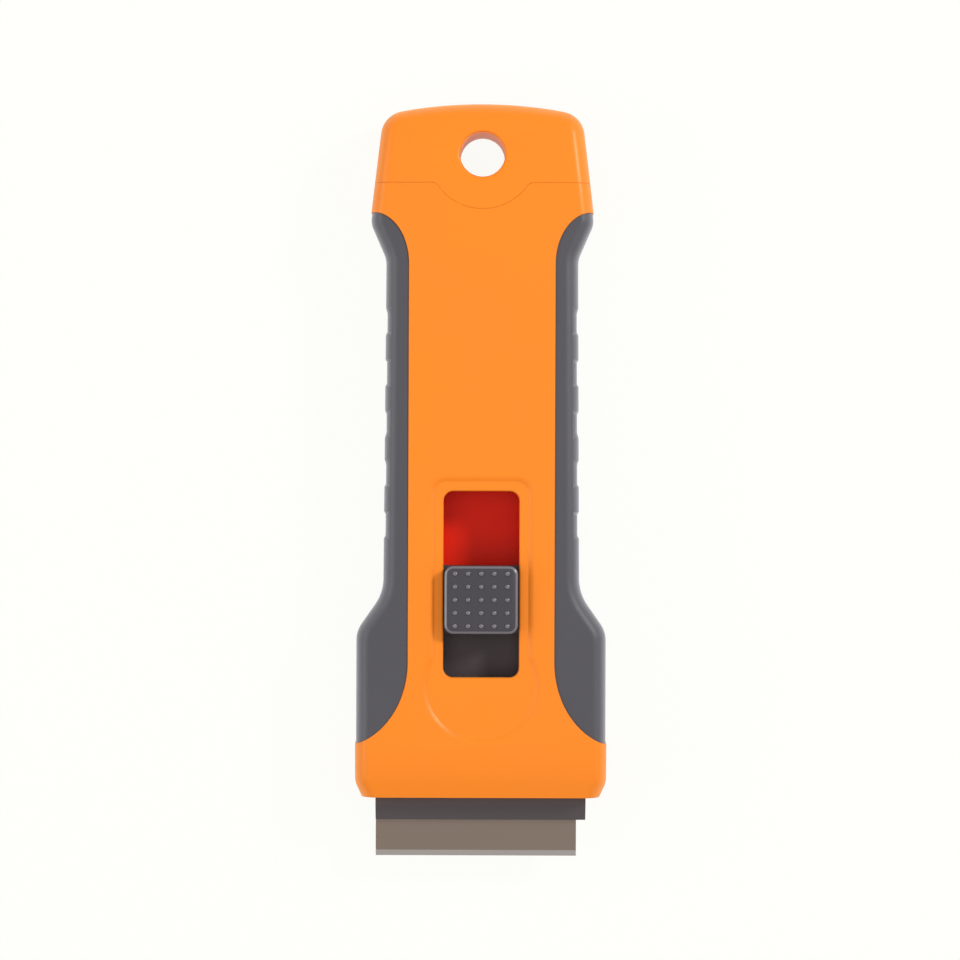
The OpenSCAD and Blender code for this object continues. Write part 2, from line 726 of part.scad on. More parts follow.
// Upper jaw over the blade
lip_bevel_len = 3;
lip_t = 1.1;
clamp_screw_x = 14;
clamp_screw_back = 4.4;
clamp_screw_r = 0.9;
clamp_screw_head_r = 1.8;
clamp_screw_head_t = 1.2;
clamp_screw_bite = 1.4;
stud_bite = 1.4;
stud_reach = 1.4;
module at_clamp_screws() {
    for (x = [-clamp_screw_x, clamp_screw_x]) translate([x, y_holder_top - clamp_screw_back, 0]) children();
}
module blade_clamp() {
    color("dimgray") difference() {
        translate([-holder_w / 2, 0, 0]) rotate([90, 0, 90]) linear_extrude(holder_w) polygon([
            [y_lip, clamp_z], [y_holder_top, clamp_z], [y_holder_top, clamp_top],
            [y_lip + lip_bevel_len, clamp_top], [y_lip, clamp_z + lip_t]]);
        block([-stem_half - slide_gap, y_holder_top - over - slide_gap, clamp_z - over],
            [stem_half + slide_gap, y_holder_top + over, clamp_top + over]);
        at_clamp_screws() {
            translate([0, 0, clamp_z - over])
                cylinder(h = clamp_t + 2 * over, r = clamp_screw_r + fit_gap);
            translate([0, 0, clamp_top - clamp_screw_head_t])
                cylinder(h = clamp_t, r = clamp_screw_head_r + fit_gap);
        }
        translate([x_stud, y_stud, clamp_z - over])
            cylinder(h = over + stud_reach + fit_gap, r = stud_r + fit_gap);
    }
}
module clamp_screws() {
    color("silver") at_clamp_screws() translate([0, 0, clamp_top]) mirror([0, 0, 1])
        screw(clamp_screw_r, clamp_screw_head_r, clamp_screw_head_t,
            clamp_t + blade_t - clamp_screw_head_t + clamp_screw_bite - fit_gap);
}
module blade_stud() {
    color("silver") translate([x_stud, y_stud, blade_z - stud_bite + fit_gap])
        cylinder(h = stud_bite + blade_t + stud_reach - fit_gap, r = stud_r);
}
module blade() {
    color("silver") translate([blade_x, y_edge, blade_z]) flat_blade();
}

// Spring-steel lock under the button, with a tooth on each side that rises into the racks
leaf_t = 0.3;
leaf_half = 6;
leaf_root_len = 5;
leaf_back = 0.2;
leaf_ramp_len = 5;
leaf_tip_len = 2.2;
leaf_lift_gap = 0.1;
slot_half = 1.9;
tip_bar = 1.5;
tooth_t = 0.9;
post_r = 1.5;
post_gap = 3;
flange_t = 1.8;
flange_gap = 0.25;
flange_z = ceiling_z - flange_gap - flange_t;
y_leaf = y_stem_top - leaf_back;
y_leaf_tip = y_leaf - leaf_root_len - leaf_ramp_len - leaf_tip_len;
y_tooth = y_leaf_tip + tooth_w / 2 + leaf_t / 2;
leaf_tip_z = flange_z - leaf_lift_gap - leaf_t;
tooth_top = ceiling_z - rack_h + press_travel - tooth_gap;
rivet_r = 0.7;
rivet_head_r = 1.2;
rivet_head_t = 0.5;
rivet_bite = 2;
rivet_x = 4.6;
module at_rivets() {
    for (x = [-rivet_x, rivet_x]) translate([x, y_leaf - leaf_root_len / 2, 0]) children();
}
module leaf_strip(half, y0, y1, z0, z1) {
    translate([-half, 0, 0]) rotate([90, 0, 90]) linear_extrude(2 * half)
        polygon([[y0, z0], [y1, z1], [y1, z1 + leaf_t], [y0, z0 + leaf_t]]);
}
module lock_spring() {
    y_ramp = y_leaf - leaf_root_len;
    y_tip = y_ramp - leaf_ramp_len;
    color("gray") difference() {
        union() {
            leaf_strip(leaf_half, y_ramp, y_leaf, stem_top, stem_top);
            leaf_strip(leaf_half, y_tip, y_ramp, leaf_tip_z, stem_top);
            leaf_strip(stem_half, y_leaf_tip, y_tip, leaf_tip_z, leaf_tip_z);
            for (x = [-stem_half, stem_half - tooth_t])
                block([x, y_tooth - tooth_w / 2, leaf_tip_z],
                    [x + tooth_t, y_tooth + tooth_w / 2, tooth_top]);
        }
        at_rivets() translate([0, 0, stem_top - over]) cylinder(h = body_t, r = rivet_r + fit_gap);
        at_posts() translate([0, 0, stem_top - over]) cylinder(h = body_t, r = slot_half);
        block([-slot_half, y_leaf_tip + tip_bar, stem_top - over],
            [slot_half, y_button - post_gap, body_t]);
    }
}
module spring_rivets() {
    color("silver") at_rivets() {
        translate([0, 0, stem_top - rivet_bite]) cylinder(h = rivet_bite + leaf_t, r = rivet_r);
        translate([0, 0, stem_top + leaf_t]) cylinder(h = rivet_head_t, r = rivet_head_r);
    }
}

// Button: the pad in the window, its flange under the shell and two guide posts
pad_r = 1.8;
pad_bevel = 0.5;
flange_side = 1.55;
post_len = 4.7;
module at_posts() {
    for (y = [y_button + post_gap, y_button - post_gap]) translate([0, y, 0]) children();
}
module button() {
    top = body_t + button_proud;
    y0 = y_button - button_len / 2;
    y1 = y_button + button_len / 2;
    span = nub_pitch * (nub_count - 1);
    dome_r = (nub_r * nub_r + nub_h * nub_h) / (2 * nub_h);
    color("dimgray") {
        translate([0, 0, flange_z]) linear_extrude(flange_t)
            rounded_plate(button_w / 2 + flange_side, y0, y1, pad_bevel);
        translate([0, 0, flange_z]) linear_extrude(top - pad_bevel - flange_z)
            rounded_plate(button_w / 2, y0, y1, pad_r);
        hull() {
            translate([0, 0, top - 2 * pad_bevel]) linear_extrude(pad_bevel)
                rounded_plate(button_w / 2, y0, y1, pad_r);
            translate([0, 0, top - pad_bevel]) linear_extrude(pad_bevel)
                rounded_plate(button_w / 2 - pad_bevel, y0 + pad_bevel, y1 - pad_bevel, pad_r - pad_bevel);
        }
        at_posts() translate([0, 0, flange_z - post_len]) cylinder(h = post_len + fit_gap, r = post_r);
        for (i = [0:nub_count - 1], j = [0:nub_count - 1])
            translate([-span / 2 + i * nub_pitch, y_button - span / 2 + j * nub_pitch, top + nub_h - dome_r])
                sphere(dome_r);
    }
}

front_shell();
rear_shell();
left_grip();
right_grip();
track_plate();
shell_screws();
end_cap();
blade_tray();
tray_screws();
spare_blades();
carrier();
blade_clamp();
clamp_screws();
blade_stud();
blade();
lock_spring();
spring_rivets();
button();
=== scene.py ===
"""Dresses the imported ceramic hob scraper: moulded shells, soft grips, end cap, thumb button and finishes.

Lengths are in millimetres until a mesh is made, and the axes are the frame's: X across, Y up the handle
towards the hanging hole, Z out of the front face.
"""
import logging
import math
from collections.abc import Callable, Iterable, Sequence
from dataclasses import dataclass, field, replace
from enum import Enum

import bmesh
import bpy
import numpy as np
from mathutils import Matrix, Vector

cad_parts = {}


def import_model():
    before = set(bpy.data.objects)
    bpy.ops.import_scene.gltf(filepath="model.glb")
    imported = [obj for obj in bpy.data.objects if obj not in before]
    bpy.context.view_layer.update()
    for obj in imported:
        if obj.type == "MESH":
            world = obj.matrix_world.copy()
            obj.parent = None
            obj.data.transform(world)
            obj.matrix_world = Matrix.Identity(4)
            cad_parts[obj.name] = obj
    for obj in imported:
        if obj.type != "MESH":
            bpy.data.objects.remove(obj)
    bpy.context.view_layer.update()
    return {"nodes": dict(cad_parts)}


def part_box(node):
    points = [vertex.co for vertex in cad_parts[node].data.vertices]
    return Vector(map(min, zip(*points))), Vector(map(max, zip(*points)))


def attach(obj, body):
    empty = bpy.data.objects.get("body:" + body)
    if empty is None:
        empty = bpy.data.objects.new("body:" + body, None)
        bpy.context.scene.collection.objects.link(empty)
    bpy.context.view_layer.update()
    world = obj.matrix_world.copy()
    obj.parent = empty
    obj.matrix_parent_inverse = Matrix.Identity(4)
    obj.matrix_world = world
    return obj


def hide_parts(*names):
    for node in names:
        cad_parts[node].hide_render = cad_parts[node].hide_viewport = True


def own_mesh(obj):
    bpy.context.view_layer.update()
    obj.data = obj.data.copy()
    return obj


LOG = logging.getLogger("scraper")
MM = 0.001
IMAGE_PX = 960
# How far a cutter reaches past the faces that it cuts.
PAST = 3.0
# How far an added form reaches into what it joins.
OVERLAP = 0.05
# A corner with a greater half angle counts as straight.
STRAIGHT = math.radians(89.5)
# Distance in metres below which two points of a mesh are one.
SAME_POINT = 1e-7

Solid = bpy.types.Object
Loop = np.ndarray
Ring = np.ndarray
Corner = tuple[float, float, float]


# Plan geometry


def unit(v: np.ndarray) -> np.ndarray:
    """Returns a vector, or each row of vectors, at length 1."""
    return v / np.linalg.norm(v, axis=-1, keepdims=True)


def rounded_path(points: Sequence[Corner], steps: int, closed: bool) -> Loop:
    """Rounds the corners of a path.

    Args:
        points: Corners as x, y and the radius that rounds them.
        steps: Chords in each rounded corner.
        closed: Whether the last corner joins the first.

    Returns:
        The path's points, one per row.
    """
    out: list[np.ndarray] = []
    corners = [np.array(p[:2], float) for p in points]
    ends = () if closed else (0, len(points) - 1)
    for i, here in enumerate(corners):
        radius = points[i][2]
        to_last = unit(corners[i - 1] - here)
        to_next = unit(corners[(i + 1) % len(corners)] - here)
        half = math.acos(float(np.clip(to_last @ to_next, -1, 1))) / 2
        if radius <= 0 or i in ends or half > STRAIGHT:
            out.append(here)
            continue
        centre = here + unit(to_last + to_next) * radius / math.sin(half)
        start = here + to_last * radius / math.tan(half) - centre
        end = here + to_next * radius / math.tan(half) - centre
        first = math.atan2(start[1], start[0])
        turn = (math.atan2(end[1], end[0]) - first + math.pi) % (2 * math.pi) - math.pi
        for k in range(steps + 1):
            angle = first + turn * k / steps
            out.append(centre + radius * np.array([math.cos(angle), math.sin(angle)]))
    return np.array(out)


def with_stations(path: Loop, step: float) -> Loop:
    """Splits every stretch of an open path that is longer than a step.

    Args:
        path: The path's points.
        step: The longest stretch that stays whole.

    Returns:
        The path with the points added.
    """
    out = []
    for here, there in zip(path[:-1], path[1:]):
        count = max(1, math.ceil(np.linalg.norm(there - here) / step))
        out += [here + (there - here) * k / count for k in range(count)]
    return np.array(out + [path[-1]])


def square_out(before: np.ndarray, after: np.ndarray) -> np.ndarray:
    """Returns the directions to the right of a path, scaled so that an offset keeps its distance.

    Args:
        before: Heading of the stretch that leads to each point, one per row.
        after: Heading of the stretch that leaves it.

    Returns:
        One direction per row.
    """
    mean = unit(before + after)
    scale = np.sum(mean * after, axis=1, keepdims=True)
    return np.stack([mean[:, 1], -mean[:, 0]], axis=1) / scale


def offset_loop(loop: Loop, distance: float) -> Loop:
    """Moves a closed counter-clockwise loop outwards by distance, measured square to its sides."""
    before = unit(loop - np.roll(loop, 1, axis=0))
    return loop + distance * square_out(before, np.roll(before, -1, axis=0))


def rounded_rectangle(half_w: float, y0: float, y1: float, radius: float, steps: int = 10) -> Loop:
    """Returns a rounded rectangle about x = 0, counter-clockwise."""
    corners = [(half_w, y0), (half_w, y1), (-half_w, y1), (-half_w, y0)]
    return rounded_path([(x, y, radius) for x, y in corners], steps, True)


def circle(x: float, y: float, radius: float, count: int) -> Loop:
    """Returns a circle of count points, counter-clockwise."""
    angles = np.arange(count) * 2 * math.pi / count
    return np.stack([x + radius * np.cos(angles), y + radius * np.sin(angles)], axis=1)


def arc_corners(y: float, radius: float, angles: np.ndarray, end_r: float) -> list[Corner]:
    """Returns an arc about x = 0 as corners, of which the first and the last get the radius end_r."""
    arc = [(radius * math.cos(a), y + radius * math.sin(a), 0.0) for a in angles]
    return [(*arc[0][:2], end_r), *arc[1:-1], (*arc[-1][:2], end_r)]


# Meshes


def mesh_object(name: str, verts: np.ndarray, faces: Iterable[Sequence[int]]) -> Solid:
    """Makes a linked object from points in millimetres.

    Args:
        name: The object's name.
        verts: Points in millimetres, one per row.
        faces: Corner indices of each face.

    Returns:
        The new object.
    """
    mesh = bpy.data.meshes.new(name)
    mesh.from_pydata((np.asarray(verts) * MM).tolist(), [], [list(f) for f in faces])
    made = bmesh.new()
    made.from_mesh(mesh)
    bmesh.ops.remove_doubles(made, verts=made.verts, dist=SAME_POINT)
    bmesh.ops.recalc_face_normals(made, faces=made.faces)
    made.to_mesh(mesh)
    made.free()
    obj = bpy.data.objects.new(name, mesh)
    bpy.context.scene.collection.objects.link(obj)
    return obj


def ring_faces(rings: int, count: int) -> list[tuple[int, ...]]:
    """Returns the quads between neighbouring rings.

    Args:
        rings: Number of rings.
        count: Number of points in each.

    Returns:
        Corner indices of each quad.
    """
    faces = []
    for a in range(0, (rings - 1) * count, count):
        b = a + count
        faces += [(a + i, a + (i + 1) % count, b + (i + 1) % count, b + i) for i in range(count)]
    return faces


def lofted(name: str, rings: Sequence[Ring]) -> Solid:
    """Makes a closed form through rings of equal length.

    Args:
        name: The object's name.
        rings: Closed rings of points in millimetres, from first to last.

    Returns:
        The new object.
    """
    count = len(rings[0])
    last = (len(rings) - 1) * count
    caps = [tuple(range(count))[::-1], tuple(range(last, last + count))]
    return mesh_object(name, np.vstack(rings), ring_faces(len(rings), count) + caps)


def raised(loop: Loop, z: float | np.ndarray) -> Ring:
    """Lifts a plan loop to one height, or to a height for each point."""
    return np.column_stack([loop, np.broadcast_to(z, len(loop))])


def prism(loop: Loop, z0: float, z1: float) -> Solid:
    """Makes an upright prism over a plan loop."""
    return lofted("cutter", [raised(loop, z0), raised(loop, z1)])


def box_between(low: Sequence[float], high: Sequence[float]) -> Solid:
    """Makes a box between two corners."""
    loop = np.array([(low[0], low[1]), (high[0], low[1]), (high[0], high[1]), (low[0], high[1])], float)
    return prism(loop, low[2], high[2])


def mouth_rings(loop: Loop, face: float | Callable[[np.ndarray], np.ndarray], radius: float, out: int,
                steps: int) -> list[Ring]:
    """Makes the rings that widen an opening into a rounded edge.

    Args:
        loop: The opening's plan.
        face: Height of the face that it opens into, which may follow Y.
        radius: Radius that rounds the edge.
        out: 1 where the face looks up, -1 where it looks down.
        steps: Number of rings.

    Returns:
        The rings, from the inside to the face.
    """
    rings = []
    for angle in np.linspace(0, math.pi / 2, steps):
        ring = offset_loop(loop, radius * (1 - math.cos(angle)))
        level = face(ring[:, 1]) if callable(face) else face
        rings.append(raised(ring, level - out * radius * (1 - math.sin(angle))))
    return rings


def flared(loop: Loop, face: float, depth: float, radius: float, out: int = 1, steps: int = 7) -> Solid:
    """Makes a cutter whose mouth is rounded where it meets a flat face.

    Args:
        loop: The opening's plan.
        face: Height of the face.
        depth: How deep the cutter reaches.
        radius: Radius that rounds the opening's edge.
        out: 1 where the face looks up, -1 where it looks down.
        steps: Number of rings in the rounded edge.

    Returns:
        The cutter.
    """
    mouth = mouth_rings(loop, face, radius, out, steps)
    return lofted("cutter", [raised(loop, face - out * depth), *mouth,
                             raised(offset_loop(loop, radius), face + out * PAST)])


def dished(loop: Loop, top: float, depth: float, run: float, curve: float = 1.8, steps: int = 10) -> Solid:
    """Makes a cutter for a shallow recess whose wall rises steeply and rounds off into a flat face.

    Args:
        loop: The recess's plan at its floor.
        top: Height of the face.
        depth: Depth of the recess.
        run: How far the wall spreads across.
        curve: Power that bends the wall, 1 for a straight slope.
        steps: Number of rings in the wall.

    Returns:
        The cutter.
    """
    rings = [raised(offset_loop(loop, run * share), top - depth * (1 - share) ** curve)
             for share in np.linspace(0, 1, steps)]
    return lofted("cutter", [*rings, raised(offset_loop(loop, run), top + PAST)])


class Join(Enum):
    """How one solid meets another."""

    ADD = "UNION"
    CUT = "DIFFERENCE"
    KEEP = "INTERSECT"


def joined(target: Solid, how: Join, *tools: Solid) -> Solid:
    """Adds, cuts or intersects a solid with others.

    Args:
        target: The solid that changes.
        how: How it meets the tools.
        tools: The other solids, which are used up one after the other.

    Returns:
        The target.
    """
    for tool in tools:
        step = target.modifiers.new("join", "BOOLEAN")
        step.operation = how.value
        step.solver = "EXACT"
        step.object = tool
        graph = bpy.context.evaluated_depsgraph_get()
        result = bpy.data.meshes.new_from_object(target.evaluated_get(graph))
        target.modifiers.clear()
        old = target.data
        target.data = result
        bpy.data.meshes.remove(old)
        bpy.data.objects.remove(tool)
    return target


def smoothed(obj: Solid, degrees: float = 28.0) -> Solid:
    """Shades an object smooth.

    Args:
        obj: The object.
        degrees: Angle between two faces from which their edge stays sharp.

    Returns:
        The object.
    """
    obj.data.shade_smooth()
    obj.data.set_sharp_from_angle(angle=math.radians(degrees))
    return obj


# The handle's outer form


@dataclass
class HandleForm:
    """The outer form that shells, grips and end cap are cut from.

    nose_drop, nose_rise, cap_drop and cap_rise say how far the faces bend in at the mouth and at the crown,
    and the length after each says over what stretch. mouth_bevel gives width and length of the mouth's cut
    corners. front_edge and back_edge give width and height of the rounding between face and side.
    """

    y_mouth: float
    y_top: float
    head_half: float
    split_z: float
    body_t: float
    head_len: float = 32.6
    head_r: float = 4.4
    flare_len: float = 7.5
    flare_r: float = 6.0
    waist_half: float = 19.4
    waist_r: float = 9.0
    neck_half: float = 19.0
    neck_len: float = 7.0
    neck_r: float = 5.0
    shoulder_half: float = 22.05
    shoulder_len: float = 23.8
    shoulder_r: float = 4.4
    cap_half: float = 19.55
    cap_corner_r: float = 5.0
    crown_r: float = 87.0
    crown_from: float = 0.74
    crown_points: int = 10
    mouth_bevel: tuple[float, float] = (1.3, 2.9)
    nose_drop: float = 2.0
    nose_front_len: float = 12.0
    nose_rise: float = 2.2
    nose_back_len: float = 15.0
    cap_drop: float = 2.4
    cap_front_len: float = 20.0
    cap_rise: float = 1.0
    cap_back_len: float = 9.0
    front_edge: tuple[float, float] = (3.0, 4.2)
    back_edge: tuple[float, float] = (3.6, 4.0)
    corner_steps: int = 12
    edge_steps: int = 14

    @classmethod
    def from_frame(cls) -> "HandleForm":
        """Reads the form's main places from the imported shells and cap.

        Returns:
            The form.
        """
        shell_low, shell_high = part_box("front_shell")
        return cls(
            y_mouth=shell_low.y / MM,
            y_top=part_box("end_cap")[1].y / MM,
            head_half=shell_high.x / MM,
            split_z=shell_low.z / MM,
            body_t=shell_high.z / MM,
        )

    @property
    def y_flare(self) -> float:
        """Where the head begins to narrow."""
        return self.y_mouth + self.head_len

    @property
    def y_waist(self) -> float:
        """Where the waist begins."""
        return self.y_flare + self.flare_len

    @property
    def y_shoulder(self) -> float:
        """Where the shoulder is widest."""
        return self.y_top - self.shoulder_len

    @property
    def y_neck(self) -> float:
        """Where the waist ends and the shoulder begins to widen."""
        return self.y_shoulder - self.neck_len

    def side_path(self, step: float) -> Loop:
        """Returns the right side of the outline, from beyond the mouth to the middle of the crown.

        Args:
            step: Longest stretch between stations along it.

        Returns:
            The side's points, one per row.
        """
        bevel_w, bevel_len = self.mouth_bevel
        shares = (1.0, *np.linspace(self.crown_from, 0, self.crown_points))
        crown = [(self.cap_half * s, self.crown_y(self.cap_half * s)) for s in shares]
        corners = [
            (self.head_half - 2 * bevel_w, self.y_mouth - bevel_len, 0),
            (self.head_half, self.y_mouth + bevel_len, self.head_r),
            (self.head_half, self.y_flare, self.flare_r),
            (self.waist_half, self.y_waist, self.waist_r),
            (self.neck_half, self.y_neck, self.neck_r),
            (self.shoulder_half, self.y_shoulder, self.shoulder_r),
            (*crown[0], self.cap_corner_r),
            *[(x, y, 0) for x, y in crown[1:]],
        ]
        return with_stations(rounded_path(corners, self.corner_steps, False), step)

    def crown_y(self, x: float) -> float:
        """Returns where the crowned top lies at x."""
        return self.y_top - x * x / (2 * self.crown_r)

    def end_bends(self, y: np.ndarray, nose_len: float, cap_len: float) -> tuple[np.ndarray, np.ndarray]:
        """Returns how far a face has bent away at places along Y, from 0 to 1.

        Args:
            y: The places.
            nose_len: Length over which it bends at the mouth.
            cap_len: Length over which it bends at the crown.

        Returns:
            The shares at the mouth and at the crown.
        """
        nose = np.maximum(0, (self.y_mouth + nose_len - y) / nose_len)
        cap = np.maximum(0, (y - self.y_top + cap_len) / cap_len)
        return nose**2, cap**2

    def front_z(self, y: np.ndarray) -> np.ndarray:
        """Returns the height of the front face along Y."""
        nose, cap = self.end_bends(y, self.nose_front_len, self.cap_front_len)
        return self.body_t - self.nose_drop * nose - self.cap_drop * cap

    def back_z(self, y: np.ndarray) -> np.ndarray:
        """Returns the height of the back along Y."""
        nose, cap = self.end_bends(y, self.nose_back_len, self.cap_back_len)
        return self.nose_rise * nose + self.cap_rise * cap

    def outward(self, path: Loop) -> np.ndarray:
        """Returns the outward direction at each point of the side path, scaled to keep an inset's distance.

        Args:
            path: The side path, which ends at the middle of the crown.

        Returns:
            One direction per row.
        """
        heading = unit(path[1:] - path[:-1])
        level = [[-1.0, 0.0]]
        return square_out(np.vstack([heading[:1], heading[:-1], level]), np.vstack([heading, level]))

    def section(self, more: tuple[float, ...]) -> list[tuple[bool, float]]:
        """Returns the section's rings from the back to the front, as front and degrees."""
        angles = [float(a) for a in np.linspace(90, 0, self.edge_steps + 1)]
        return [(False, a) for a in angles] + [(True, a) for a in sorted({*angles, *more})]

    def ring(self, path: Loop, front: bool, degrees: float, depth: np.ndarray) -> Ring:
        """Makes one ring round the form, through the rounded edge of its front or back.

        Args:
            path: The side path.
            front: Whether the ring is on the front.
            degrees: Where it lies on the rounded edge, 0 at the side and 90 at the face.
            depth: How far it lies below the outer form at each of the path's points.

        Returns:
            The ring's points, right side first.
        """
        width, height = self.front_edge if front else self.back_edge
        angle = math.radians(degrees)
        slope = unit(np.array([math.cos(angle) / width, math.sin(angle) / height]))
        across = width * (1 - math.cos(angle)) + depth * slope[0]
        down = height * (1 - math.sin(angle)) + depth * slope[1]
        plan = path - across[:, None] * self.outward(path)
        y = plan[:, 1]
        right = np.column_stack([plan, self.front_z(y) - down if front else self.back_z(y) + down])
        return np.vstack([right, right[:-1][::-1] * (-1, 1, 1)])

    def solid(self, name: str, sink: float = 0.0, step: float = 2.5,
              dent: Callable[[np.ndarray, float, bool], np.ndarray] | None = None,
              more: tuple[float, ...] = ()) -> Solid:
        """Makes the closed form, or one that lies deeper by sink.

        Args:
            name: The object's name.
            sink: How far below the outer form it lies.
            step: Longest stretch between stations along the outline.
            dent: Gives the extra depth at places along Y, for an angle round the section in degrees
                (0 at the side, 90 at the face) and whether it is the front.
            more: Further angles that get a ring on the front.

        Returns:
            The new object.
        """
        path = self.side_path(step)
        y = path[:, 1]
        rings = []
        for front, degrees in self.section(more):
            depth = sink + (dent(y, degrees, front) if dent else np.zeros(len(y)))
            rings.append(self.ring(path, front, degrees, depth))
        count, half = len(rings[0]), len(path) - 1
        faces = ring_faces(len(rings), count)
        # The back and the front face are closed by strips across.
        for base in (0, (len(rings) - 1) * count):
            for i in range(half):
                left_i = 2 * half - i
                quad = (base + i, base + i + 1, base + left_i - 1, base + left_i)
                faces.append(quad if i < half - 1 else (quad[0], quad[1], quad[3]))
        return mesh_object(name, np.vstack(rings), faces)


# What the pieces are cut with


@dataclass
class GripPlan:
    """The areas at both sides that the soft grips cover.

    front_w and back_w are the widths at the waist. top_out and foot_out say how far outside the shoulder
    and the head the curved ends run out.
    """

    form: HandleForm
    front_w: float = 5.1
    back_w: float = 3.1
    top_out: float = -0.55
    top_len: float = 10.0
    top_drop: float = 0.85
    foot_out: float = 3.25
    foot_len: float = 16.6
    foot_rise: float = 26.6
    thickness: float = 2.2
    sink: float = 0.2
    steps: int = 28
    edge_step: float = 6.0
    core_step: float = 1.2
    core_over: float = 1.0

    @property
    def y_top(self) -> float:
        """Where the straight inner edge ends at the top."""
        return self.form.y_neck - self.top_drop

    @property
    def y_foot(self) -> float:
        """Where the straight inner edge ends at the foot."""
        return self.form.y_mouth + self.foot_rise

    def loop(self, width: float) -> Loop:
        """Returns the right area's plan, counter-clockwise.

        Args:
            width: Width of the grip at the waist.

        Returns:
            The plan, which reaches well past the handle's side.
        """
        far = 2 * self.form.head_half
        half = self.form.waist_half - width
        top_reach = self.form.shoulder_half + self.top_out
        foot_reach = self.form.head_half + self.foot_out
        quarter = np.linspace(0, math.pi / 2, self.steps + 1)
        top = np.column_stack([
            top_reach + (top_reach - half) * np.cos(math.pi / 2 + quarter),
            self.y_top + self.top_len * np.sin(math.pi / 2 + quarter),
        ])
        foot = np.column_stack([
            foot_reach + (foot_reach - half) * np.cos(math.pi + quarter),
            self.y_foot + self.foot_len * np.sin(math.pi + quarter),
        ])
        straight = with_stations(np.array([top[-1], foot[0]]), self.edge_step)[1:-1]
        return np.vstack([top, straight, foot, [(far, foot[-1, 1]), (far, top[0, 1])]])

    def block(self, front: bool, side: int) -> Solid:
        """Makes the upright block over the area of one side.

        Args:
            front: Whether it lies above the parting plane, or below it.
            side: 1 for the right side, -1 for the left.

        Returns:
            The block.
        """
        loop = self.loop(self.front_w if front else self.back_w)
        if side < 0:
            loop = loop[::-1] * (-1, 1)
        split = self.form.split_z
        return prism(loop, split, self.form.body_t + PAST) if front else prism(loop, -PAST, split)

    def core(self, z0: float, z1: float, shrink: float = 0.0) -> Solid:
        """Makes what lies under both grips.

        Args:
            z0: Its lowest height.
            z1: Its highest height.
            shrink: How far it stays clear of the grips' inner side.

        Returns:
            The core.
        """
        path = self.form.side_path(self.core_step)
        inner = path - (self.thickness + shrink) * self.form.outward(path)
        x, y = inner.T
        y0, y1 = self.y_foot - self.foot_len - self.core_over, self.y_top + self.top_len + self.core_over
        inner = inner[(y > y0) & (y < y1) & (x > self.form.waist_half / 2)]
        return prism(np.vstack([inner, inner[::-1] * (-1, 1)]), z0, z1)


@dataclass
class Seam:
    """The seam between shells and end cap, which dips round the hanging hole."""

    form: HandleForm
    seam_drop: float = 15.9
    hole_drop: float = 10.3
    dip_r: float = 10.7
    corner_r: float = 1.5
    dip_steps: int = 40
    corner_steps: int = 6

    @property
    def y_seam(self) -> float:
        """Where the seam's straight stretches lie."""
        return self.form.y_top - self.seam_drop

    @property
    def y_hole(self) -> float:
        """Where the middle of the hanging hole lies."""
        return self.form.y_top - self.hole_drop

    def above(self, gap: float) -> Loop:
        """Returns the area above the seam, counter-clockwise.

        Args:
            gap: How far the area is widened downwards.

        Returns:
            The area's plan.
        """
        far = 2 * self.form.head_half
        y, radius = self.y_seam - gap, self.dip_r + gap
        half = math.acos((self.y_hole - y) / radius)
        angles = -math.pi / 2 + np.linspace(-half, half, self.dip_steps + 1)
        dip = arc_corners(self.y_hole, radius, angles, self.corner_r)
        line = rounded_path([(-far, y, 0), *dip, (far, y, 0)], self.corner_steps, False)
        top = self.form.y_top + far
        return np.vstack([line, [(far, top), (-far, top)]])


# Finishes


def linear(hex_colour: str) -> tuple[float, float, float, float]:
    """Turns an sRGB hex colour into linear values."""
    channels = [int(hex_colour[i:i + 2], 16) / 255 for i in (1, 3, 5)]
    return (*[c / 12.92 if c <= 0.04045 else ((c + 0.055) / 1.055) ** 2.4 for c in channels], 1.0)


def blank_material(name: str) -> bpy.types.Material:
    """Makes a material without nodes.

    Args:
        name: The material's name.

    Returns:
        The new material.
    """
    made = bpy.data.materials.new(name)
    made.use_nodes = True
    made.node_tree.nodes.clear()
    return made


def add_node(tree: bpy.types.NodeTree, kind: str, links: dict[str, bpy.types.NodeSocket] | None = None,
             values: dict[str, object] | None = None, **settings: object) -> bpy.types.Node:
    """Adds a node with its settings, input values and incoming links.

    Args:
        tree: The node tree.
        kind: The node's type name.
        links: Sockets that feed the node's inputs, by input name.
        values: Values of the node's inputs, by name.
        settings: Attributes of the node.

    Returns:
        The new node.
    """
    node = tree.nodes.new(kind)
    for name, value in settings.items():
        setattr(node, name, value)
    for name, value in (values or {}).items():
        node.inputs[name].default_value = value
    for name, socket in (links or {}).items():
        tree.links.new(socket, node.inputs[name])
    return node


def mixed_colour(tree: bpy.types.NodeTree, share: bpy.types.NodeSocket, second: str,
                 first: str | bpy.types.NodeSocket) -> bpy.types.NodeSocket:
    """Mixes two colours.

    Args:
        tree: The node tree.
        share: Socket that gives the second colour's share.
        second: The second colour, as hex.
        first: The first colour, as hex or as the socket that gives it.

    Returns:
        The mixed colour's socket.
    """
    mix = add_node(tree, "ShaderNodeMix", {"Factor": share}, data_type="RGBA")
    if isinstance(first, str):
        mix.inputs["A"].default_value = linear(first)
    else:
        tree.links.new(first, mix.inputs["A"])
    mix.inputs["B"].default_value = linear(second)
    return mix.outputs["Result"]


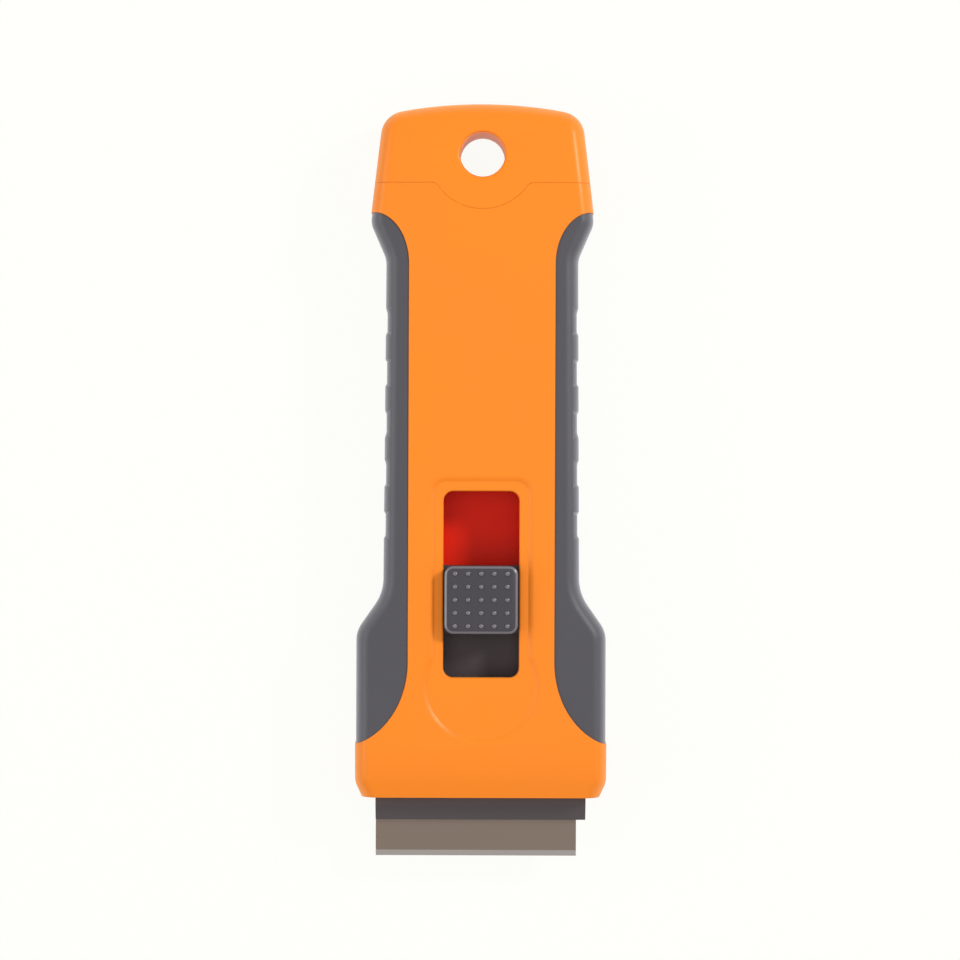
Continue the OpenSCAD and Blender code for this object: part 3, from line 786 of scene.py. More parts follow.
@dataclass(frozen=True)
class Skin:
    """The fine surface of a finish: uneven gloss, relief and slightly rounded edges."""

    roughness: float
    uneven: float
    relief_mm: float
    edge_samples: int

    def links(self, tree: bpy.types.NodeTree, texture: bpy.types.NodeSocket, depth: float,
              edge_mm: float) -> dict[str, bpy.types.NodeSocket]:
        """Adds the skin's nodes.

        Args:
            tree: The node tree.
            texture: Socket of the texture that gloss and relief follow.
            depth: Strength of the relief.
            edge_mm: Radius that the edges seem to have.

        Returns:
            What feeds the shader's inputs, by input name.
        """
        gloss = add_node(tree, "ShaderNodeMapRange", {"Value": texture},
                         {"To Min": self.roughness - self.uneven, "To Max": self.roughness + self.uneven})
        edge = add_node(tree, "ShaderNodeBevel", values={"Radius": edge_mm * MM}, samples=self.edge_samples)
        bump = add_node(tree, "ShaderNodeBump", {"Height": texture, "Normal": edge.outputs["Normal"]},
                        {"Strength": depth, "Distance": self.relief_mm * MM})
        return {"Roughness": gloss.outputs["Result"], "Normal": bump.outputs["Normal"]}


@dataclass(frozen=True)
class Moulded:
    """A moulded plastic or elastomer: a fine eroded tool texture, faint cloudiness and rounded edges."""

    name: str
    colour: str
    cloud: str
    roughness: float
    grain_mm: float
    grain_depth: float
    edge_mm: float = 0.25
    cloud_mm: float = 22.0
    sheen: float = 0.0
    sheen_tint: str = "#FFFFFF"
    specular: float = 0.5
    specular_tint: str = "#FFFFFF"
    ior: float = 1.53

    def material(self) -> bpy.types.Material:
        """Builds the material.

        Returns:
            The new material.
        """
        made = blank_material(self.name)
        tree = made.node_tree
        where = add_node(tree, "ShaderNodeTexCoord").outputs["Object"]
        cloud = add_node(tree, "ShaderNodeTexNoise", {"Vector": where},
                         {"Scale": 1 / (self.cloud_mm * MM), "Detail": 3.0, "Roughness": 0.5})
        tint = mixed_colour(tree, cloud.outputs["Fac"], self.cloud, self.colour)
        grain = add_node(tree, "ShaderNodeTexNoise", {"Vector": where},
                         {"Scale": 1 / (self.grain_mm * MM), "Detail": 2.0, "Roughness": 0.6})
        skin = Skin(self.roughness, uneven=0.06, relief_mm=0.05, edge_samples=6)
        links = skin.links(tree, grain.outputs["Fac"], self.grain_depth, self.edge_mm)
        shader = add_node(tree, "ShaderNodeBsdfPrincipled", {"Base Color": tint, **links},
                          {"IOR": self.ior, "Specular IOR Level": self.specular, "Sheen Weight": self.sheen,
                           "Sheen Tint": linear(self.sheen_tint),
                           "Specular Tint": linear(self.specular_tint)})
        add_node(tree, "ShaderNodeOutputMaterial", {"Surface": shader.outputs["BSDF"]})
        return made


@dataclass(frozen=True)
class RolledSteel:
    """Steel strip or turned steel: fine streaks along one axis, with a little unevenness in its gloss."""

    name: str
    colour: str
    streak: str
    roughness: float
    streak_mm: tuple[float, float, float]
    depth: float
    edge_mm: float = 0.1
    # The band along the ground edge is near-white: the ground edge with a painted highlight.
    ground_highlight_to: float | None = None
    ground_highlight_colour: str = "#FAF0E8"

    def material(self) -> bpy.types.Material:
        """Builds the material, with a paler band along the blade's edge where its end on Y is given: the ground
        edge, with its highlight painted into the colour.

        Returns:
            The new material.
        """
        made = blank_material(self.name)
        tree = made.node_tree
        where = add_node(tree, "ShaderNodeTexCoord").outputs["Object"]
        stretch = add_node(tree, "ShaderNodeMapping", {"Vector": where},
                           {"Scale": tuple(1 / (s * MM) for s in self.streak_mm)})
        streaks = add_node(tree, "ShaderNodeTexNoise", {"Vector": stretch.outputs["Vector"]},
                           {"Scale": 1.0, "Detail": 4.0, "Roughness": 0.6})
        tint = mixed_colour(tree, streaks.outputs["Fac"], self.streak, self.colour)
        if self.ground_highlight_to is not None:
            # Near-white band along the edge: the ground edge's painted highlight.
            apart = add_node(tree, "ShaderNodeSeparateXYZ", {"Vector": where})
            ground_highlight_band = add_node(tree, "ShaderNodeMath", {0: apart.outputs["Y"]}, {1: self.ground_highlight_to * MM},
                            operation="LESS_THAN")
            tint = mixed_colour(tree, ground_highlight_band.outputs["Value"], self.ground_highlight_colour, tint)
        skin = Skin(self.roughness, uneven=0.08, relief_mm=0.02, edge_samples=4)
        links = skin.links(tree, streaks.outputs["Fac"], self.depth, self.edge_mm)
        shader = add_node(tree, "ShaderNodeBsdfPrincipled", {"Base Color": tint, **links}, {"Metallic": 1.0})
        add_node(tree, "ShaderNodeOutputMaterial", {"Surface": shader.outputs["BSDF"]})
        return made


Finish = Moulded | RolledSteel

# ABS, injection moulded and lightly textured: an even orange with a satin gloss.
ORANGE_ABS = Moulded("orange_abs", "#FF8C1E", "#FC8828", roughness=0.38, grain_mm=0.35, grain_depth=0.12,
                     sheen=0.4, sheen_tint="#FFC858", specular=0.4, specular_tint="#FFE4CC")
# Thermoplastic elastomer, overmoulded: a dry, soft, dark grey with a fine grain and a faint bloom.
GRIP_TPE = Moulded("grip_tpe", "#4A484D", "#46444A", roughness=0.5, grain_mm=0.3, grain_depth=0.3,
                   sheen=0.9, sheen_tint="#F4F6FF")
# ABS, injection moulded in a polished tool, which takes reflections: an orange-red pushed to a deep red,
# painted shade for the window's depth and the reddish light bounced between its orange walls.
RED_ABS_PAINTED_SHADE = Moulded("red_abs", "#FF2C10", "#FA260C", roughness=0.24, grain_mm=0.8, grain_depth=0.05,
                  specular=0.12)
# Glass-filled nylon, injection moulded: a dull dark grey with a slightly uneven skin.
HOLDER_NYLON = Moulded("holder_nylon", "#4A4142", "#453D3E", roughness=0.46, grain_mm=0.4, grain_depth=0.3)
# The same nylon on the upper jaw, made paler all over.
JAW_NYLON = replace(HOLDER_NYLON, name="jaw_nylon", colour="#585052", cloud="#534B4D")
# Nylon, injection moulded: the button's cooler grey, satin from the thumb.
BUTTON_NYLON = Moulded("button_nylon", "#464247", "#423F44", roughness=0.36, grain_mm=0.35, grain_depth=0.08,
                       edge_mm=0.08)
# The same nylon, paler and glossier, on the nubs' tips and the rim's bevel: the paler colour is a painted
# highlight.
HIGHLIGHT_PAINTED_NYLON = Moulded("button_nylon_painted_highlight", "#78747A", "#737075", roughness=0.26, grain_mm=0.35,
                         grain_depth=0.04, edge_mm=0.08)
# Polypropylene, injection moulded: the tray's waxy grey.
TRAY_PP = Moulded("tray_pp", "#4A484A", "#454345", roughness=0.42, grain_mm=0.5, grain_depth=0.15)
# Carbon steel strip, cold rolled: warm grey with fine streaks along the blade's width.
BLADE_STEEL = RolledSteel("blade_steel", "#CFBAAA", "#C3AE9F", roughness=0.34, streak_mm=(16.0, 0.6, 0.6),
                          depth=0.3)
# Zinc-plated steel, turned: a paler, cooler grey.
SCREW_STEEL = RolledSteel("screw_steel", "#B5B6BA", "#A3A4A9", roughness=0.3, streak_mm=(0.8, 0.8, 3.0),
                          depth=0.25)
# Spring strip, blued: darker and more even.
SPRING_STEEL = RolledSteel("spring_steel", "#7C8088", "#70747C", roughness=0.3, streak_mm=(0.4, 6.0, 0.4),
                           depth=0.2)


@dataclass
class FinishBook:
    """Materials by name, each made once."""

    made: dict[str, bpy.types.Material] = field(default_factory=dict)

    def material(self, finish: Finish) -> bpy.types.Material:
        """Returns a finish's material, which is made at its first use.

        Args:
            finish: The finish.

        Returns:
            Its material.
        """
        if finish.name not in self.made:
            self.made[finish.name] = finish.material()
        return self.made[finish.name]

    def dress(self, obj: Solid, finish: Finish) -> None:
        """Gives an object one finish all over.

        Args:
            obj: The object.
            finish: The finish.
        """
        obj.data.materials.clear()
        obj.data.materials.append(self.material(finish))
        for face in obj.data.polygons:
            face.material_index = 0

    def dress_faces(self, obj: Solid, finish: Finish, chosen: Callable[[Vector, Vector], bool]) -> None:
        """Gives some faces of a dressed object another finish.

        Args:
            obj: The object.
            finish: The finish of the chosen faces.
            chosen: Says from a face's centre in millimetres and its normal whether it is chosen.
        """
        obj.data.materials.append(self.material(finish))
        for face in obj.data.polygons:
            if chosen(face.center / MM, face.normal):
                face.material_index = 1


def placed(obj: Solid, name: str, body: str, node: str) -> Solid:
    """Names a finished piece and puts it in the place of its node.

    Args:
        obj: The piece.
        name: Its name.
        body: The body that it rides on.
        node: The CAD node that it stands for.

    Returns:
        The piece.
    """
    obj.name = name
    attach(obj, body)
    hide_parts(node)
    return obj


# Sub-assemblies


@dataclass
class Shells:
    """Front and rear shells of orange ABS.

    Inside are the way for the blade holder, the chamber along the handle, the screws' bosses, the bulkhead
    before the blade store, the racks for the lock spring's teeth, the track plate's ribs and pegs, and the
    blade tray's runners.
    """

    form: HandleForm
    grips: GripPlan
    seam: Seam
    finishes: FinishBook
    front_wall: float = 2.6
    rear_wall: float = 2.0
    side_wall: float = 2.35
    crown_wall: float = 2.0
    seam_gap: float = 0.02
    core_gap: float = 0.01
    window_half: float = 7.4
    window_up: float = 23.6
    window_len: float = 36.4
    window_r: float = 1.9
    window_edge_r: float = 0.35
    window_over: float = 1.0
    recess_half: float = 9.2
    recess_depth: float = 0.45
    recess_run: float = 1.25
    recess_top_gap: float = 1.9
    recess_corner_r: float = 2.4
    recess_foot_up: float = 22.1
    recess_foot_r: float = 10.6
    recess_foot_points: int = 61
    recess_neck_r: float = 2.0
    recess_corner_steps: int = 10
    way_gap: float = 0.3
    way_len: float = 30.2
    way_taper: float = 8.5
    chamber_lead: float = 1.7
    boss_x: float = 13.2
    boss_r: float = 2.4
    boss_sides: int = 40
    pilot_r: float = 1.1
    pilot_len: float = 4.0
    shank_r: float = 1.3
    screw_reach: float = 2.1
    screw_head_r: float = 2.3
    screw_head_sides: int = 48
    screw_edge_r: float = 0.3
    bulkhead_gap: float = 1.4
    bulkhead_t: float = 1.6
    rack_x: tuple[float, float] = (9.2, 10.4)
    rack_h: float = 1.5
    rack_end: float = 1.6
    tooth_in: float = 0.75
    tooth_reach: float = 0.8
    stops: tuple[float, ...] = (-8.5, 0.0, 14.4)
    rib_w: float = 1.4
    peg_x: float = 12.9
    peg_r: float = 1.0
    peg_h: float = 1.2
    peg_inset: float = 3.0
    peg_sides: int = 32
    runner_half: float = 6.0
    runner_gap: float = 0.2

    def __post_init__(self) -> None:
        """Reads the window, the chamber and the screws' places from the frame."""
        self.y_window = self.form.y_mouth + self.window_up
        self.y_window_top = self.y_window + self.window_len
        self.ceiling = self.form.body_t - self.front_wall
        self.chamber_half = self.form.waist_half - self.grips.thickness - self.side_wall
        low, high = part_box("shell_screws")
        y_bosses = (low.y / MM + self.screw_reach, high.y / MM - self.screw_reach)
        self.boss_places = [(x, y) for x in (-self.boss_x, self.boss_x) for y in y_bosses]
        low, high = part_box("carrier")
        self.way_half = high.x / MM + self.way_gap
        self.way_z = (low.z / MM - self.way_gap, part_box("blade_clamp")[1].z / MM + self.way_gap)
        self.y_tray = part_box("blade_tray")[0].y / MM

    def interior(self) -> list[Solid]:
        """Makes the cutters for the holder's way and the chamber along the handle.

        Returns:
            The cutters.
        """
        y0 = self.form.y_mouth - PAST
        y_wide = self.form.y_mouth + self.way_len
        y_narrow = y_wide + self.way_taper
        right = np.array([(self.way_half, y0), (self.way_half, y_wide), (self.chamber_half, y_narrow)])
        way = prism(np.vstack([right, right[::-1] * (-1, 1)]), *self.way_z)
        chamber = box_between((-self.chamber_half, self.y_window - self.chamber_lead, self.rear_wall),
                              (self.chamber_half, self.form.y_top - self.crown_wall, self.ceiling))
        return [way, chamber]

    def recess_loop(self) -> Loop:
        """Returns the thumb recess's plan: a rounded frame that ends in a round foot.

        Returns:
            The plan at the recess's floor.
        """
        half, radius = self.recess_half, self.recess_foot_r
        y_foot = self.form.y_mouth + self.recess_foot_up
        y_top = self.y_window_top + self.recess_top_gap
        join = math.asin(math.sqrt(1 - (half / radius) ** 2))
        angles = np.linspace(math.pi - join, 2 * math.pi + join, self.recess_foot_points)
        foot = arc_corners(y_foot, radius, angles, self.recess_neck_r)
        top = [(half, y_top, self.recess_corner_r), (-half, y_top, self.recess_corner_r)]
        return rounded_path([*foot, *top], self.recess_corner_steps, True)

    def posts(self, z0: float, z1: float, radius: float) -> list[Solid]:
        """Makes upright posts at the four screws."""
        return [prism(circle(x, y, radius, self.boss_sides), z0, z1) for x, y in self.boss_places]

    def bulkhead(self, z0: float, z1: float) -> Solid:
        """Makes the wall between the slider and the blade store."""
        far, y1 = self.chamber_half + OVERLAP, self.y_tray - self.bulkhead_gap
        return box_between((-far, y1 - self.bulkhead_t, z0), (far, y1, z1))

    def rack(self) -> list[Solid]:
        """Makes the notched bars under the face, which hold the spring's teeth at each of its stops.

        Returns:
            The two bars.
        """
        y_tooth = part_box("lock_spring")[0].y / MM + self.tooth_in
        inner, outer = self.rack_x
        z0 = self.ceiling - self.rack_h
        y0, y1 = y_tooth + self.stops[0] - self.rack_end, y_tooth + self.stops[-1] + self.rack_end
        bars = []
        for x in (-outer, inner):
            bar = box_between((x, y0, z0), (x + outer - inner, y1, self.ceiling + OVERLAP))
            notches = [box_between((x - PAST, y_tooth + stop - self.tooth_reach, z0 - PAST),
                                   (x + PAST, y_tooth + stop + self.tooth_reach, self.ceiling))
                       for stop in self.stops]
            bars.append(joined(bar, Join.CUT, *notches))
        return bars

    def bed(self) -> list[Solid]:
        """Makes the ribs and pegs that carry the track plate, and the runners under the blade tray.

        Returns:
            The ribs, pegs and runners.
        """
        low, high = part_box("track_plate")
        y0, y1, z = low.y / MM + self.peg_inset, high.y / MM - self.peg_inset, low.z / MM
        base, far = self.rear_wall - OVERLAP, self.chamber_half + OVERLAP
        parts = [box_between((-far, y - self.rib_w / 2, base), (far, y + self.rib_w / 2, z))
                 for y in (y0, (y0 + y1) / 2, y1)]
        parts += [prism(circle(x, y, self.peg_r, self.peg_sides), z - OVERLAP, z + self.peg_h)
                  for x in (-self.peg_x, self.peg_x) for y in (y0, y1)]
        y_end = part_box("end_cap")[0].y / MM - self.runner_gap
        z_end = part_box("blade_tray")[0].z / MM - self.runner_gap
        parts += [box_between((x, self.y_tray, base), (x + self.rib_w, y_end, z_end))
                  for x in (-self.runner_half, self.runner_half - self.rib_w)]
        return parts

    def half(self, front: bool) -> Solid:
        """Makes one shell without its own openings.

        Args:
            front: Whether it is the front shell.

        Returns:
            The shell.
        """
        split, far = self.form.split_z, 2 * self.form.head_half
        body_t, under = self.form.body_t, self.grips.thickness
        shell = self.form.solid("shell")
        low, high = (split, body_t + PAST) if front else (-PAST, split)
        keep = box_between((-far, self.form.y_mouth, low), (far, self.form.y_top + PAST, high))
        joined(shell, Join.KEEP, keep)
        joined(shell, Join.CUT, *[self.grips.block(front, side) for side in (1, -1)])
        core_z = (split, body_t - under) if front else (under, split)
        joined(shell, Join.ADD, self.grips.core(*core_z, shrink=self.core_gap))
        joined(shell, Join.CUT, *self.interior())
        inside_z = (split, self.ceiling + OVERLAP) if front else (self.rear_wall - OVERLAP, split)
        inside = self.rack() if front else self.bed()
        joined(shell, Join.ADD, *self.posts(*inside_z, self.boss_r), self.bulkhead(*inside_z), *inside)
        joined(shell, Join.CUT, prism(self.seam.above(self.seam_gap), -PAST, body_t + PAST))
        return shell

    def front(self) -> Solid:
        """Builds the front shell with its recess and window.

        Returns:
            The shell.
        """
        shell = self.half(True)
        top, split = self.form.body_t, self.form.split_z
        window = rounded_rectangle(self.window_half, self.y_window, self.y_window_top, self.window_r)
        joined(shell, Join.CUT, dished(self.recess_loop(), top, self.recess_depth, self.recess_run))
        joined(shell, Join.CUT, flared(window, top - self.recess_depth, self.front_wall + self.window_over,
                                       self.window_edge_r))
        joined(shell, Join.CUT, *self.posts(split - PAST, split + self.pilot_len, self.pilot_r))
        self.finishes.dress(smoothed(shell), ORANGE_ABS)
        return placed(shell, "front_shell_moulding", "handle", "front_shell")

    def rear(self) -> Solid:
        """Builds the rear shell with its screw recesses.

        Returns:
            The shell.
        """
        shell = self.half(False)
        for x, y in self.boss_places:
            head = circle(x, y, self.screw_head_r, self.screw_head_sides)
            joined(shell, Join.CUT, flared(head, 0.0, self.rear_wall, self.screw_edge_r, out=-1))
        joined(shell, Join.CUT, *self.posts(self.rear_wall - OVERLAP, self.form.split_z + PAST, self.shank_r))
        self.finishes.dress(smoothed(shell), ORANGE_ABS)
        return placed(shell, "rear_shell_moulding", "handle", "rear_shell")


@dataclass
class Grips:
    """Left and right soft grips with their finger notches.

    front_step and back_step give the angle round the section, in degrees, at which a notch ends, and the
    degrees over which it fades.
    """

    form: HandleForm
    plan: GripPlan
    finishes: FinishBook
    notch_count: int = 5
    pitch: float = 9.9
    rise: float = 0.5
    length: float = 5.1
    depth: float = 0.32
    ramp: float = 0.5
    inner_share: float = 0.7
    station: float = 0.6
    front_step: tuple[float, float] = (52.0, 2.5)
    back_step: tuple[float, float] = (48.0, 9.0)

    def dent(self, y: np.ndarray, angle: float, front: bool) -> np.ndarray:
        """Returns how deep the finger notches lie at places along Y, for a ring of the section.

        Args:
            y: The places.
            angle: The ring's angle in degrees, 0 at the side and 90 at the face.
            front: Whether the ring is on the front.

        Returns:
            The depths.
        """
        middle = (self.form.y_waist + self.form.y_neck) / 2 + self.rise
        first = middle - self.pitch * (self.notch_count - 1) / 2
        nearest = first + self.pitch * np.clip(np.round((y - first) / self.pitch), 0, self.notch_count - 1)
        share = np.clip((self.length / 2 - np.abs(y - nearest)) / self.ramp, 0, 1)
        along = share * share * (3 - 2 * share)
        end, ramp = self.front_step if front else self.back_step
        round_share = float(np.clip((end - angle) / ramp, 0, 1))
        deeper = 1 + self.inner_share * math.sin(math.radians(angle))
        return self.depth * deeper * along * round_share

    def build(self, side: int) -> Solid:
        """Builds one grip.

        Args:
            side: 1 for the right grip, -1 for the left.

        Returns:
            The grip.
        """
        end, ramp = self.front_step
        grip = self.form.solid("grip", self.plan.sink, self.station, self.dent, (end, end - ramp))
        joined(grip, Join.KEEP, joined(self.plan.block(True, side), Join.ADD, self.plan.block(False, side)))
        inner = self.plan.thickness
        joined(grip, Join.CUT, self.plan.core(inner, self.form.body_t - inner))
        self.finishes.dress(smoothed(grip), GRIP_TPE)
        name = "right_grip" if side > 0 else "left_grip"
        return placed(grip, name + "_overmould", "handle", name)


@dataclass
class EndCap:
    """The pull-off end cap with its hanging hole and hollow plug."""

    form: HandleForm
    seam: Seam
    finishes: FinishBook
    hole_r: float = 4.4
    hole_edge_r: float = 0.6
    hole_sides: int = 96
    hole_steps: int = 8
    eye_wall: float = 1.8
    eye_sides: int = 64
    web: float = 1.8
    side_wall: float = 3.8
    crown_wall: float = 4.6
    front_wall: float = 3.5
    back_wall: float = 2.8
    hollow_r: float = 2.3
    plug_wall: float = 1.6
    plug_z0: float = 2.2
    plug_drop: float = 2.8

    def build(self) -> Solid:
        """Builds the cap.

        Returns:
            The cap.
        """
        top = self.form.body_t
        cap = joined(self.form.solid("cap"), Join.KEEP, prism(self.seam.above(0.0), -PAST, top + PAST))
        plug_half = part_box("track_plate")[1].x / MM
        y_plug, y_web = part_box("end_cap")[0].y / MM, self.seam.y_seam + self.web
        plug_z1 = top - self.plug_drop
        joined(cap, Join.ADD, box_between((-plug_half, y_plug, self.plug_z0), (plug_half, y_web, plug_z1)))
        joined(cap, Join.CUT, self.room(y_plug, y_web, plug_half - self.plug_wall, plug_z1 - self.plug_wall))
        joined(cap, Join.CUT, self.hole_cutter())
        self.finishes.dress(smoothed(cap), ORANGE_ABS)
        return placed(cap, "end_cap_moulding", "cap", "end_cap")

    def room(self, y_plug: float, y_web: float, half: float, z1: float) -> Solid:
        """Makes the cutter that hollows the plug and the cap, round the hanging hole's eye.

        Args:
            y_plug: Where the plug begins.
            y_web: Where the cap's own hollow begins.
            half: Half of the width inside the plug.
            z1: Highest height inside the plug.

        Returns:
            The cutter.
        """
        hollow = rounded_rectangle(self.form.cap_half - self.side_wall, y_web,
                                   self.form.y_top - self.crown_wall, self.hollow_r)
        room = prism(hollow, self.back_wall, self.form.body_t - self.front_wall)
        joined(room, Join.ADD, box_between((-half, y_plug - PAST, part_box("blade_tray")[0].z / MM),
                                           (half, y_web + self.web, z1)))
        eye = circle(0, self.seam.y_hole, self.hole_r + self.eye_wall, self.eye_sides)
        return joined(room, Join.CUT, prism(eye, 0, self.form.body_t))

    def hole_cutter(self) -> Solid:
        """Makes the cutter of the hanging hole, rounded at both faces.

        Returns:
            The cutter.
        """
        loop = circle(0, self.seam.y_hole, self.hole_r, self.hole_sides)
        back = mouth_rings(loop, self.form.back_z, self.hole_edge_r, -1, self.hole_steps)[::-1]
        front = mouth_rings(loop, self.form.front_z, self.hole_edge_r, 1, self.hole_steps)
        wide = offset_loop(loop, self.hole_edge_r)
        return lofted("cutter", [raised(wide, -PAST), *back, *front, raised(wide, self.form.body_t + PAST)])


@dataclass
class ThumbButton:
    """The thumb button: pad with a bevelled rim and 5 x 5 nubs, flange and two guide posts."""

    finishes: FinishBook
    pad_half: float = 7.2
    pad_r: float = 1.8
    bevel: float = 0.42
    bevel_slope: float = 0.64
    outer_edge: float = 0.12
    inner_edge: float = 0.1
    flange_t: float = 1.8
    flange_r: float = 0.6
    flange_gap: float = 0.25
    nub_count: int = 5
    nub_pitch: float = 2.55
    nub_r: float = 0.5
    nub_h: float = 0.3
    nub_sides: int = 20
    nub_rings: int = 6
    nub_dome: float = 0.9
    post_r: float = 1.5
    post_gap: float = 3.0
    post_sides: int = 40
    sharp_degrees: float = 35.0
    # Where the painted highlight lies: how far up the nubs, and between which slopes on the rim.
    painted_highlight_tip: float = 0.6
    painted_highlight_slopes: tuple[float, float] = (0.2, 0.98)

    def __post_init__(self) -> None:
        """Reads the button's places from the frame."""
        low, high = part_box("button")
        self.y0, self.y1, self.y_mid = low.y / MM, high.y / MM, (low.y + high.y) / MM / 2
        self.z0, self.top = low.z / MM, high.z / MM - self.nub_h
        self.flange_half = high.x / MM
        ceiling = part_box("front_shell")[1].z / MM - Shells.front_wall
        self.flange_z = ceiling - self.flange_gap - self.flange_t
        self.rim_z = self.top - self.bevel * self.bevel_slope

    def build(self) -> Solid:
        """Builds the button as one moulding.

        Returns:
            The button.
        """
        body = self.pad()
        flange = rounded_rectangle(self.flange_half, self.y0, self.y1, self.flange_r)
        joined(body, Join.ADD, prism(flange, self.flange_z, self.flange_z + self.flange_t))
        posts = [prism(circle(0, y, self.post_r, self.post_sides), self.z0, self.flange_z + OVERLAP)
                 for y in (self.y_mid - self.post_gap, self.y_mid + self.post_gap)]
        joined(body, Join.ADD, *posts)
        half = self.nub_pitch * (self.nub_count - 1) / 2
        places = [i * self.nub_pitch - half for i in range(self.nub_count)]
        joined(body, Join.ADD, *[self.nub(x, self.y_mid + y) for x in places for y in places])
        self.finishes.dress(smoothed(body, self.sharp_degrees), BUTTON_NYLON)
        # The nubs' tips and the rim's bevel get a paler finish: painted highlights.
        self.finishes.dress_faces(body, HIGHLIGHT_PAINTED_NYLON, self.gets_painted_highlight)
        return placed(body, "thumb_button_moulding", "button", "button")

    def pad(self) -> Solid:
        """Makes the pad with its bevelled rim.

        Returns:
            The pad.
        """
        loop = rounded_rectangle(self.pad_half, self.y0, self.y1, self.pad_r)
        profile = [
            (0.0, self.flange_z),
            (0.0, self.rim_z - self.outer_edge),
            (self.outer_edge / 3, self.rim_z - self.outer_edge / 3),
            (self.outer_edge, self.rim_z),
            (self.bevel, self.top - self.inner_edge / 2),
            (self.bevel + self.inner_edge, self.top),
        ]
        return lofted("button", [raised(offset_loop(loop, -inset), z) for inset, z in profile])

    def nub(self, x: float, y: float) -> Solid:
        """Makes one domed nub.

        Args:
            x: Its place across.
            y: Its place along the handle.

        Returns:
            The nub.
        """
        rings = [raised(circle(x, y, self.nub_r, self.nub_sides), self.top - OVERLAP)]
        for angle in np.linspace(0, math.pi / 2 * self.nub_dome, self.nub_rings):
            ring = circle(x, y, self.nub_r * math.cos(angle), self.nub_sides)
            rings.append(raised(ring, self.top + self.nub_h * math.sin(angle)))
        return lofted("nub", rings)

    def gets_painted_highlight(self, centre: Vector, normal: Vector) -> bool:
        """Says whether a face gets the paler finish, the painted highlight on the nubs' tips and the rim's
        bevel.

        Args:
            centre: The face's centre in millimetres.
            normal: Its normal.

        Returns:
            Whether it does.
        """
        steep, flat = self.painted_highlight_slopes
        on_rim = self.rim_z < centre.z < self.top and steep < normal.z < flat
        return on_rim or centre.z > self.top + self.painted_highlight_tip * self.nub_h


@dataclass
class LockSpring:
    """The spring leaf with its two teeth, which gives way under the pressed button."""

    node: Solid
    finishes: FinishBook
    pressed_share: float = 0.5

    def build(self) -> Solid:
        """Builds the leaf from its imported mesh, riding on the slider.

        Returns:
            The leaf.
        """
        leaf = bpy.data.objects.new("leaf", self.node.data.copy())
        bpy.context.scene.collection.objects.link(leaf)
        self.finishes.dress(leaf, SPRING_STEEL)
        placed(leaf, "lock_spring_leaf", "slider", "lock_spring")
        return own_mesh(leaf)


@dataclass
class CarriedNodes:
    """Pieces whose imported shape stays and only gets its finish."""

    nodes: dict[str, Solid]
    finishes: FinishBook
    ground_highlight_len: float = 1.1

    def dress(self) -> None:
        """Gives each carried-over node its finish."""
        choice = {
            # The track plate's deep red is partly its own colour and partly painted shade and bounced light.
            "track_plate": RED_ABS_PAINTED_SHADE,
            "carrier": HOLDER_NYLON,
            "blade_clamp": JAW_NYLON,
            "blade_tray": TRAY_PP,
            "spare_blades": BLADE_STEEL,
            "shell_screws": SCREW_STEEL,
            "tray_screws": SCREW_STEEL,
            "clamp_screws": SCREW_STEEL,
            "blade_stud": SCREW_STEEL,
            "spring_rivets": SCREW_STEEL,
        }
        y_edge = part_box("blade")[0].y / MM
        # The band along the cutting edge is the ground edge, with a painted highlight.
        choice["blade"] = replace(BLADE_STEEL, name="blade_steel_ground_highlight", ground_highlight_to=y_edge + self.ground_highlight_len)
        for node, finish in choice.items():
            self.finishes.dress(self.nodes[node], finish)
            LOG.info("dressed %s in %s", node, finish.name)


# The studio


@dataclass(frozen=True)
class Softbox:
    """A rectangular lamp that faces the object, in metres and watts."""

    name: str
    place: tuple[float, float, float]
    size: tuple[float, float]
    power: float
    mirrored: bool = True

    def build(self) -> None:
        """Makes the lamp, whose second size lies along Y."""
        light = bpy.data.lights.new(self.name, "AREA")
        light.shape = "RECTANGLE"
        light.size, light.size_y = self.size
        light.energy = self.power
        lamp = bpy.data.objects.new(self.name, light)
        lamp.location = self.place
        lamp.visible_glossy = self.mirrored
        away = Vector(self.place).normalized()
        across = Vector((0, 1, 0)).cross(away).normalized()
        lamp.rotation_euler = Matrix((across, away.cross(across), away)).transposed().to_euler()
        bpy.context.scene.collection.objects.link(lamp)


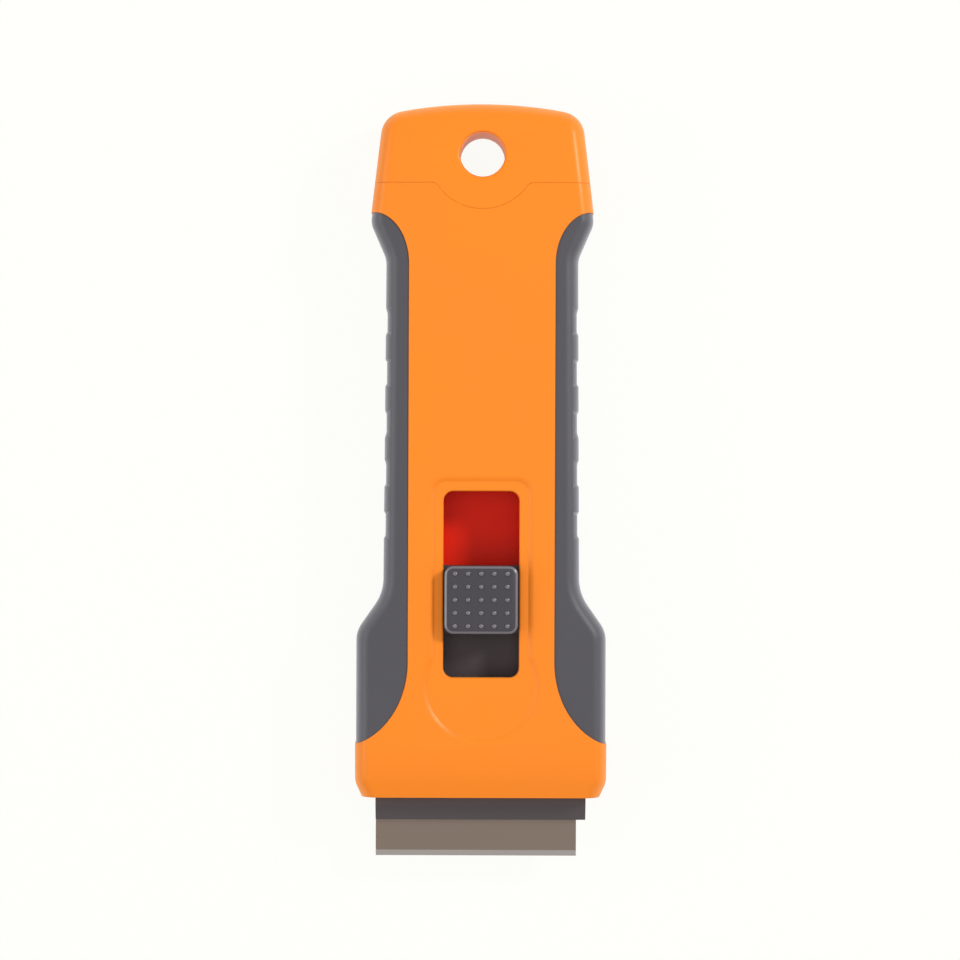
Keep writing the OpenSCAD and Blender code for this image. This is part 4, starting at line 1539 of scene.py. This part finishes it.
@dataclass
class Studio:
    """Plain pale floor, soft light and the camera straight above the front face."""

    view_w: float = 189.2
    view_z: float = 8.5
    camera_z: float = 696.0
    roll_degrees: float = 0.2
    shift_px: tuple[float, float] = (1.6, -0.4)
    sensor_w: float = 36.0
    clip_start: float = 0.05
    floor_half: float = 3000.0
    floor_z: float = -0.02
    floor_glow: float = 0.94
    world_level: float = 0.34
    lamps: tuple[Softbox, ...] = (
        Softbox("overhead_fill", place=(-0.12, -0.12, 1.1), size=(0.9, 0.9), power=3.3, mirrored=False),
        Softbox("left_softbox", place=(-0.8, 0.0, 0.42), size=(0.35, 0.9), power=3.1),
        Softbox("right_softbox", place=(0.72, 0.05, 0.58), size=(0.14, 0.9), power=0.7),
        Softbox("key", place=(0.59, 0.35, 0.55), size=(0.16, 0.16), power=4.0),
    )

    def build(self) -> None:
        """Builds the floor, light and camera."""
        self.floor()
        self.world()
        for lamp in self.lamps:
            lamp.build()
        self.camera()

    def floor(self) -> None:
        """Makes the floor, which the camera and reflections see as white and which keeps the shadow."""
        half = self.floor_half
        corners = np.array([(-half, -half), (half, -half), (half, half), (-half, half)])
        floor = mesh_object("floor", raised(corners, self.floor_z), [(0, 1, 2, 3)])
        made = blank_material("pale_floor")
        tree = made.node_tree
        path = add_node(tree, "ShaderNodeLightPath").outputs
        seen = add_node(tree, "ShaderNodeMath", {0: path["Is Camera Ray"], 1: path["Is Glossy Ray"]},
                        operation="MAXIMUM")
        diffuse = add_node(tree, "ShaderNodeBsdfDiffuse", values={"Color": linear("#F2F2EF")})
        glow = add_node(tree, "ShaderNodeEmission", values={"Color": linear("#FFFFFB"), "Strength": 1.0})
        strength = add_node(tree, "ShaderNodeMath", {0: seen.outputs["Value"]}, {1: self.floor_glow},
                            operation="MULTIPLY")
        mixed = add_node(tree, "ShaderNodeMixShader", {"Fac": strength.outputs["Value"],
                                                       1: diffuse.outputs["BSDF"],
                                                       2: glow.outputs["Emission"]})
        add_node(tree, "ShaderNodeOutputMaterial", {"Surface": mixed.outputs["Shader"]})
        floor.data.materials.append(made)

    def world(self) -> None:
        """Makes the even white world."""
        world = bpy.data.worlds.new("studio")
        bpy.context.scene.world = world
        world.use_nodes = True
        back = world.node_tree.nodes["Background"]
        back.inputs["Color"].default_value = (1, 1, 1, 1)
        back.inputs["Strength"].default_value = self.world_level

    def camera(self) -> None:
        """Makes the camera, looking straight down at the front face."""
        lens = bpy.data.cameras.new("camera")
        lens.sensor_width = self.sensor_w
        lens.lens = self.sensor_w * (self.camera_z - self.view_z) / self.view_w
        lens.clip_start = self.clip_start
        px = self.view_w / IMAGE_PX * MM
        camera = bpy.data.objects.new("camera", lens)
        camera.location = (-self.shift_px[0] * px, -self.shift_px[1] * px, self.camera_z * MM)
        camera.rotation_euler.z = math.radians(self.roll_degrees)
        bpy.context.scene.collection.objects.link(camera)
        bpy.context.scene.camera = camera


def main() -> None:
    """Loads the frame, builds every piece in order and reports each one."""
    logging.basicConfig(level=logging.INFO, format="%(message)s")
    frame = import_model()
    bpy.context.scene.view_settings.view_transform = "Standard"
    finishes = FinishBook()
    form = HandleForm.from_frame()
    grips = GripPlan(form)
    seam = Seam(form)
    shells = Shells(form, grips, seam, finishes)
    soft = Grips(form, grips, finishes)
    pieces = [shells.front(), shells.rear(), soft.build(1), soft.build(-1)]
    pieces += [EndCap(form, seam, finishes).build(), ThumbButton(finishes).build()]
    pieces.append(LockSpring(frame["nodes"]["lock_spring"], finishes).build())
    for piece in pieces:
        LOG.info("built %s with %d faces", piece.name, len(piece.data.polygons))
    CarriedNodes(frame["nodes"], finishes).dress()
    Studio().build()


if __name__ == "__main__":
    main()
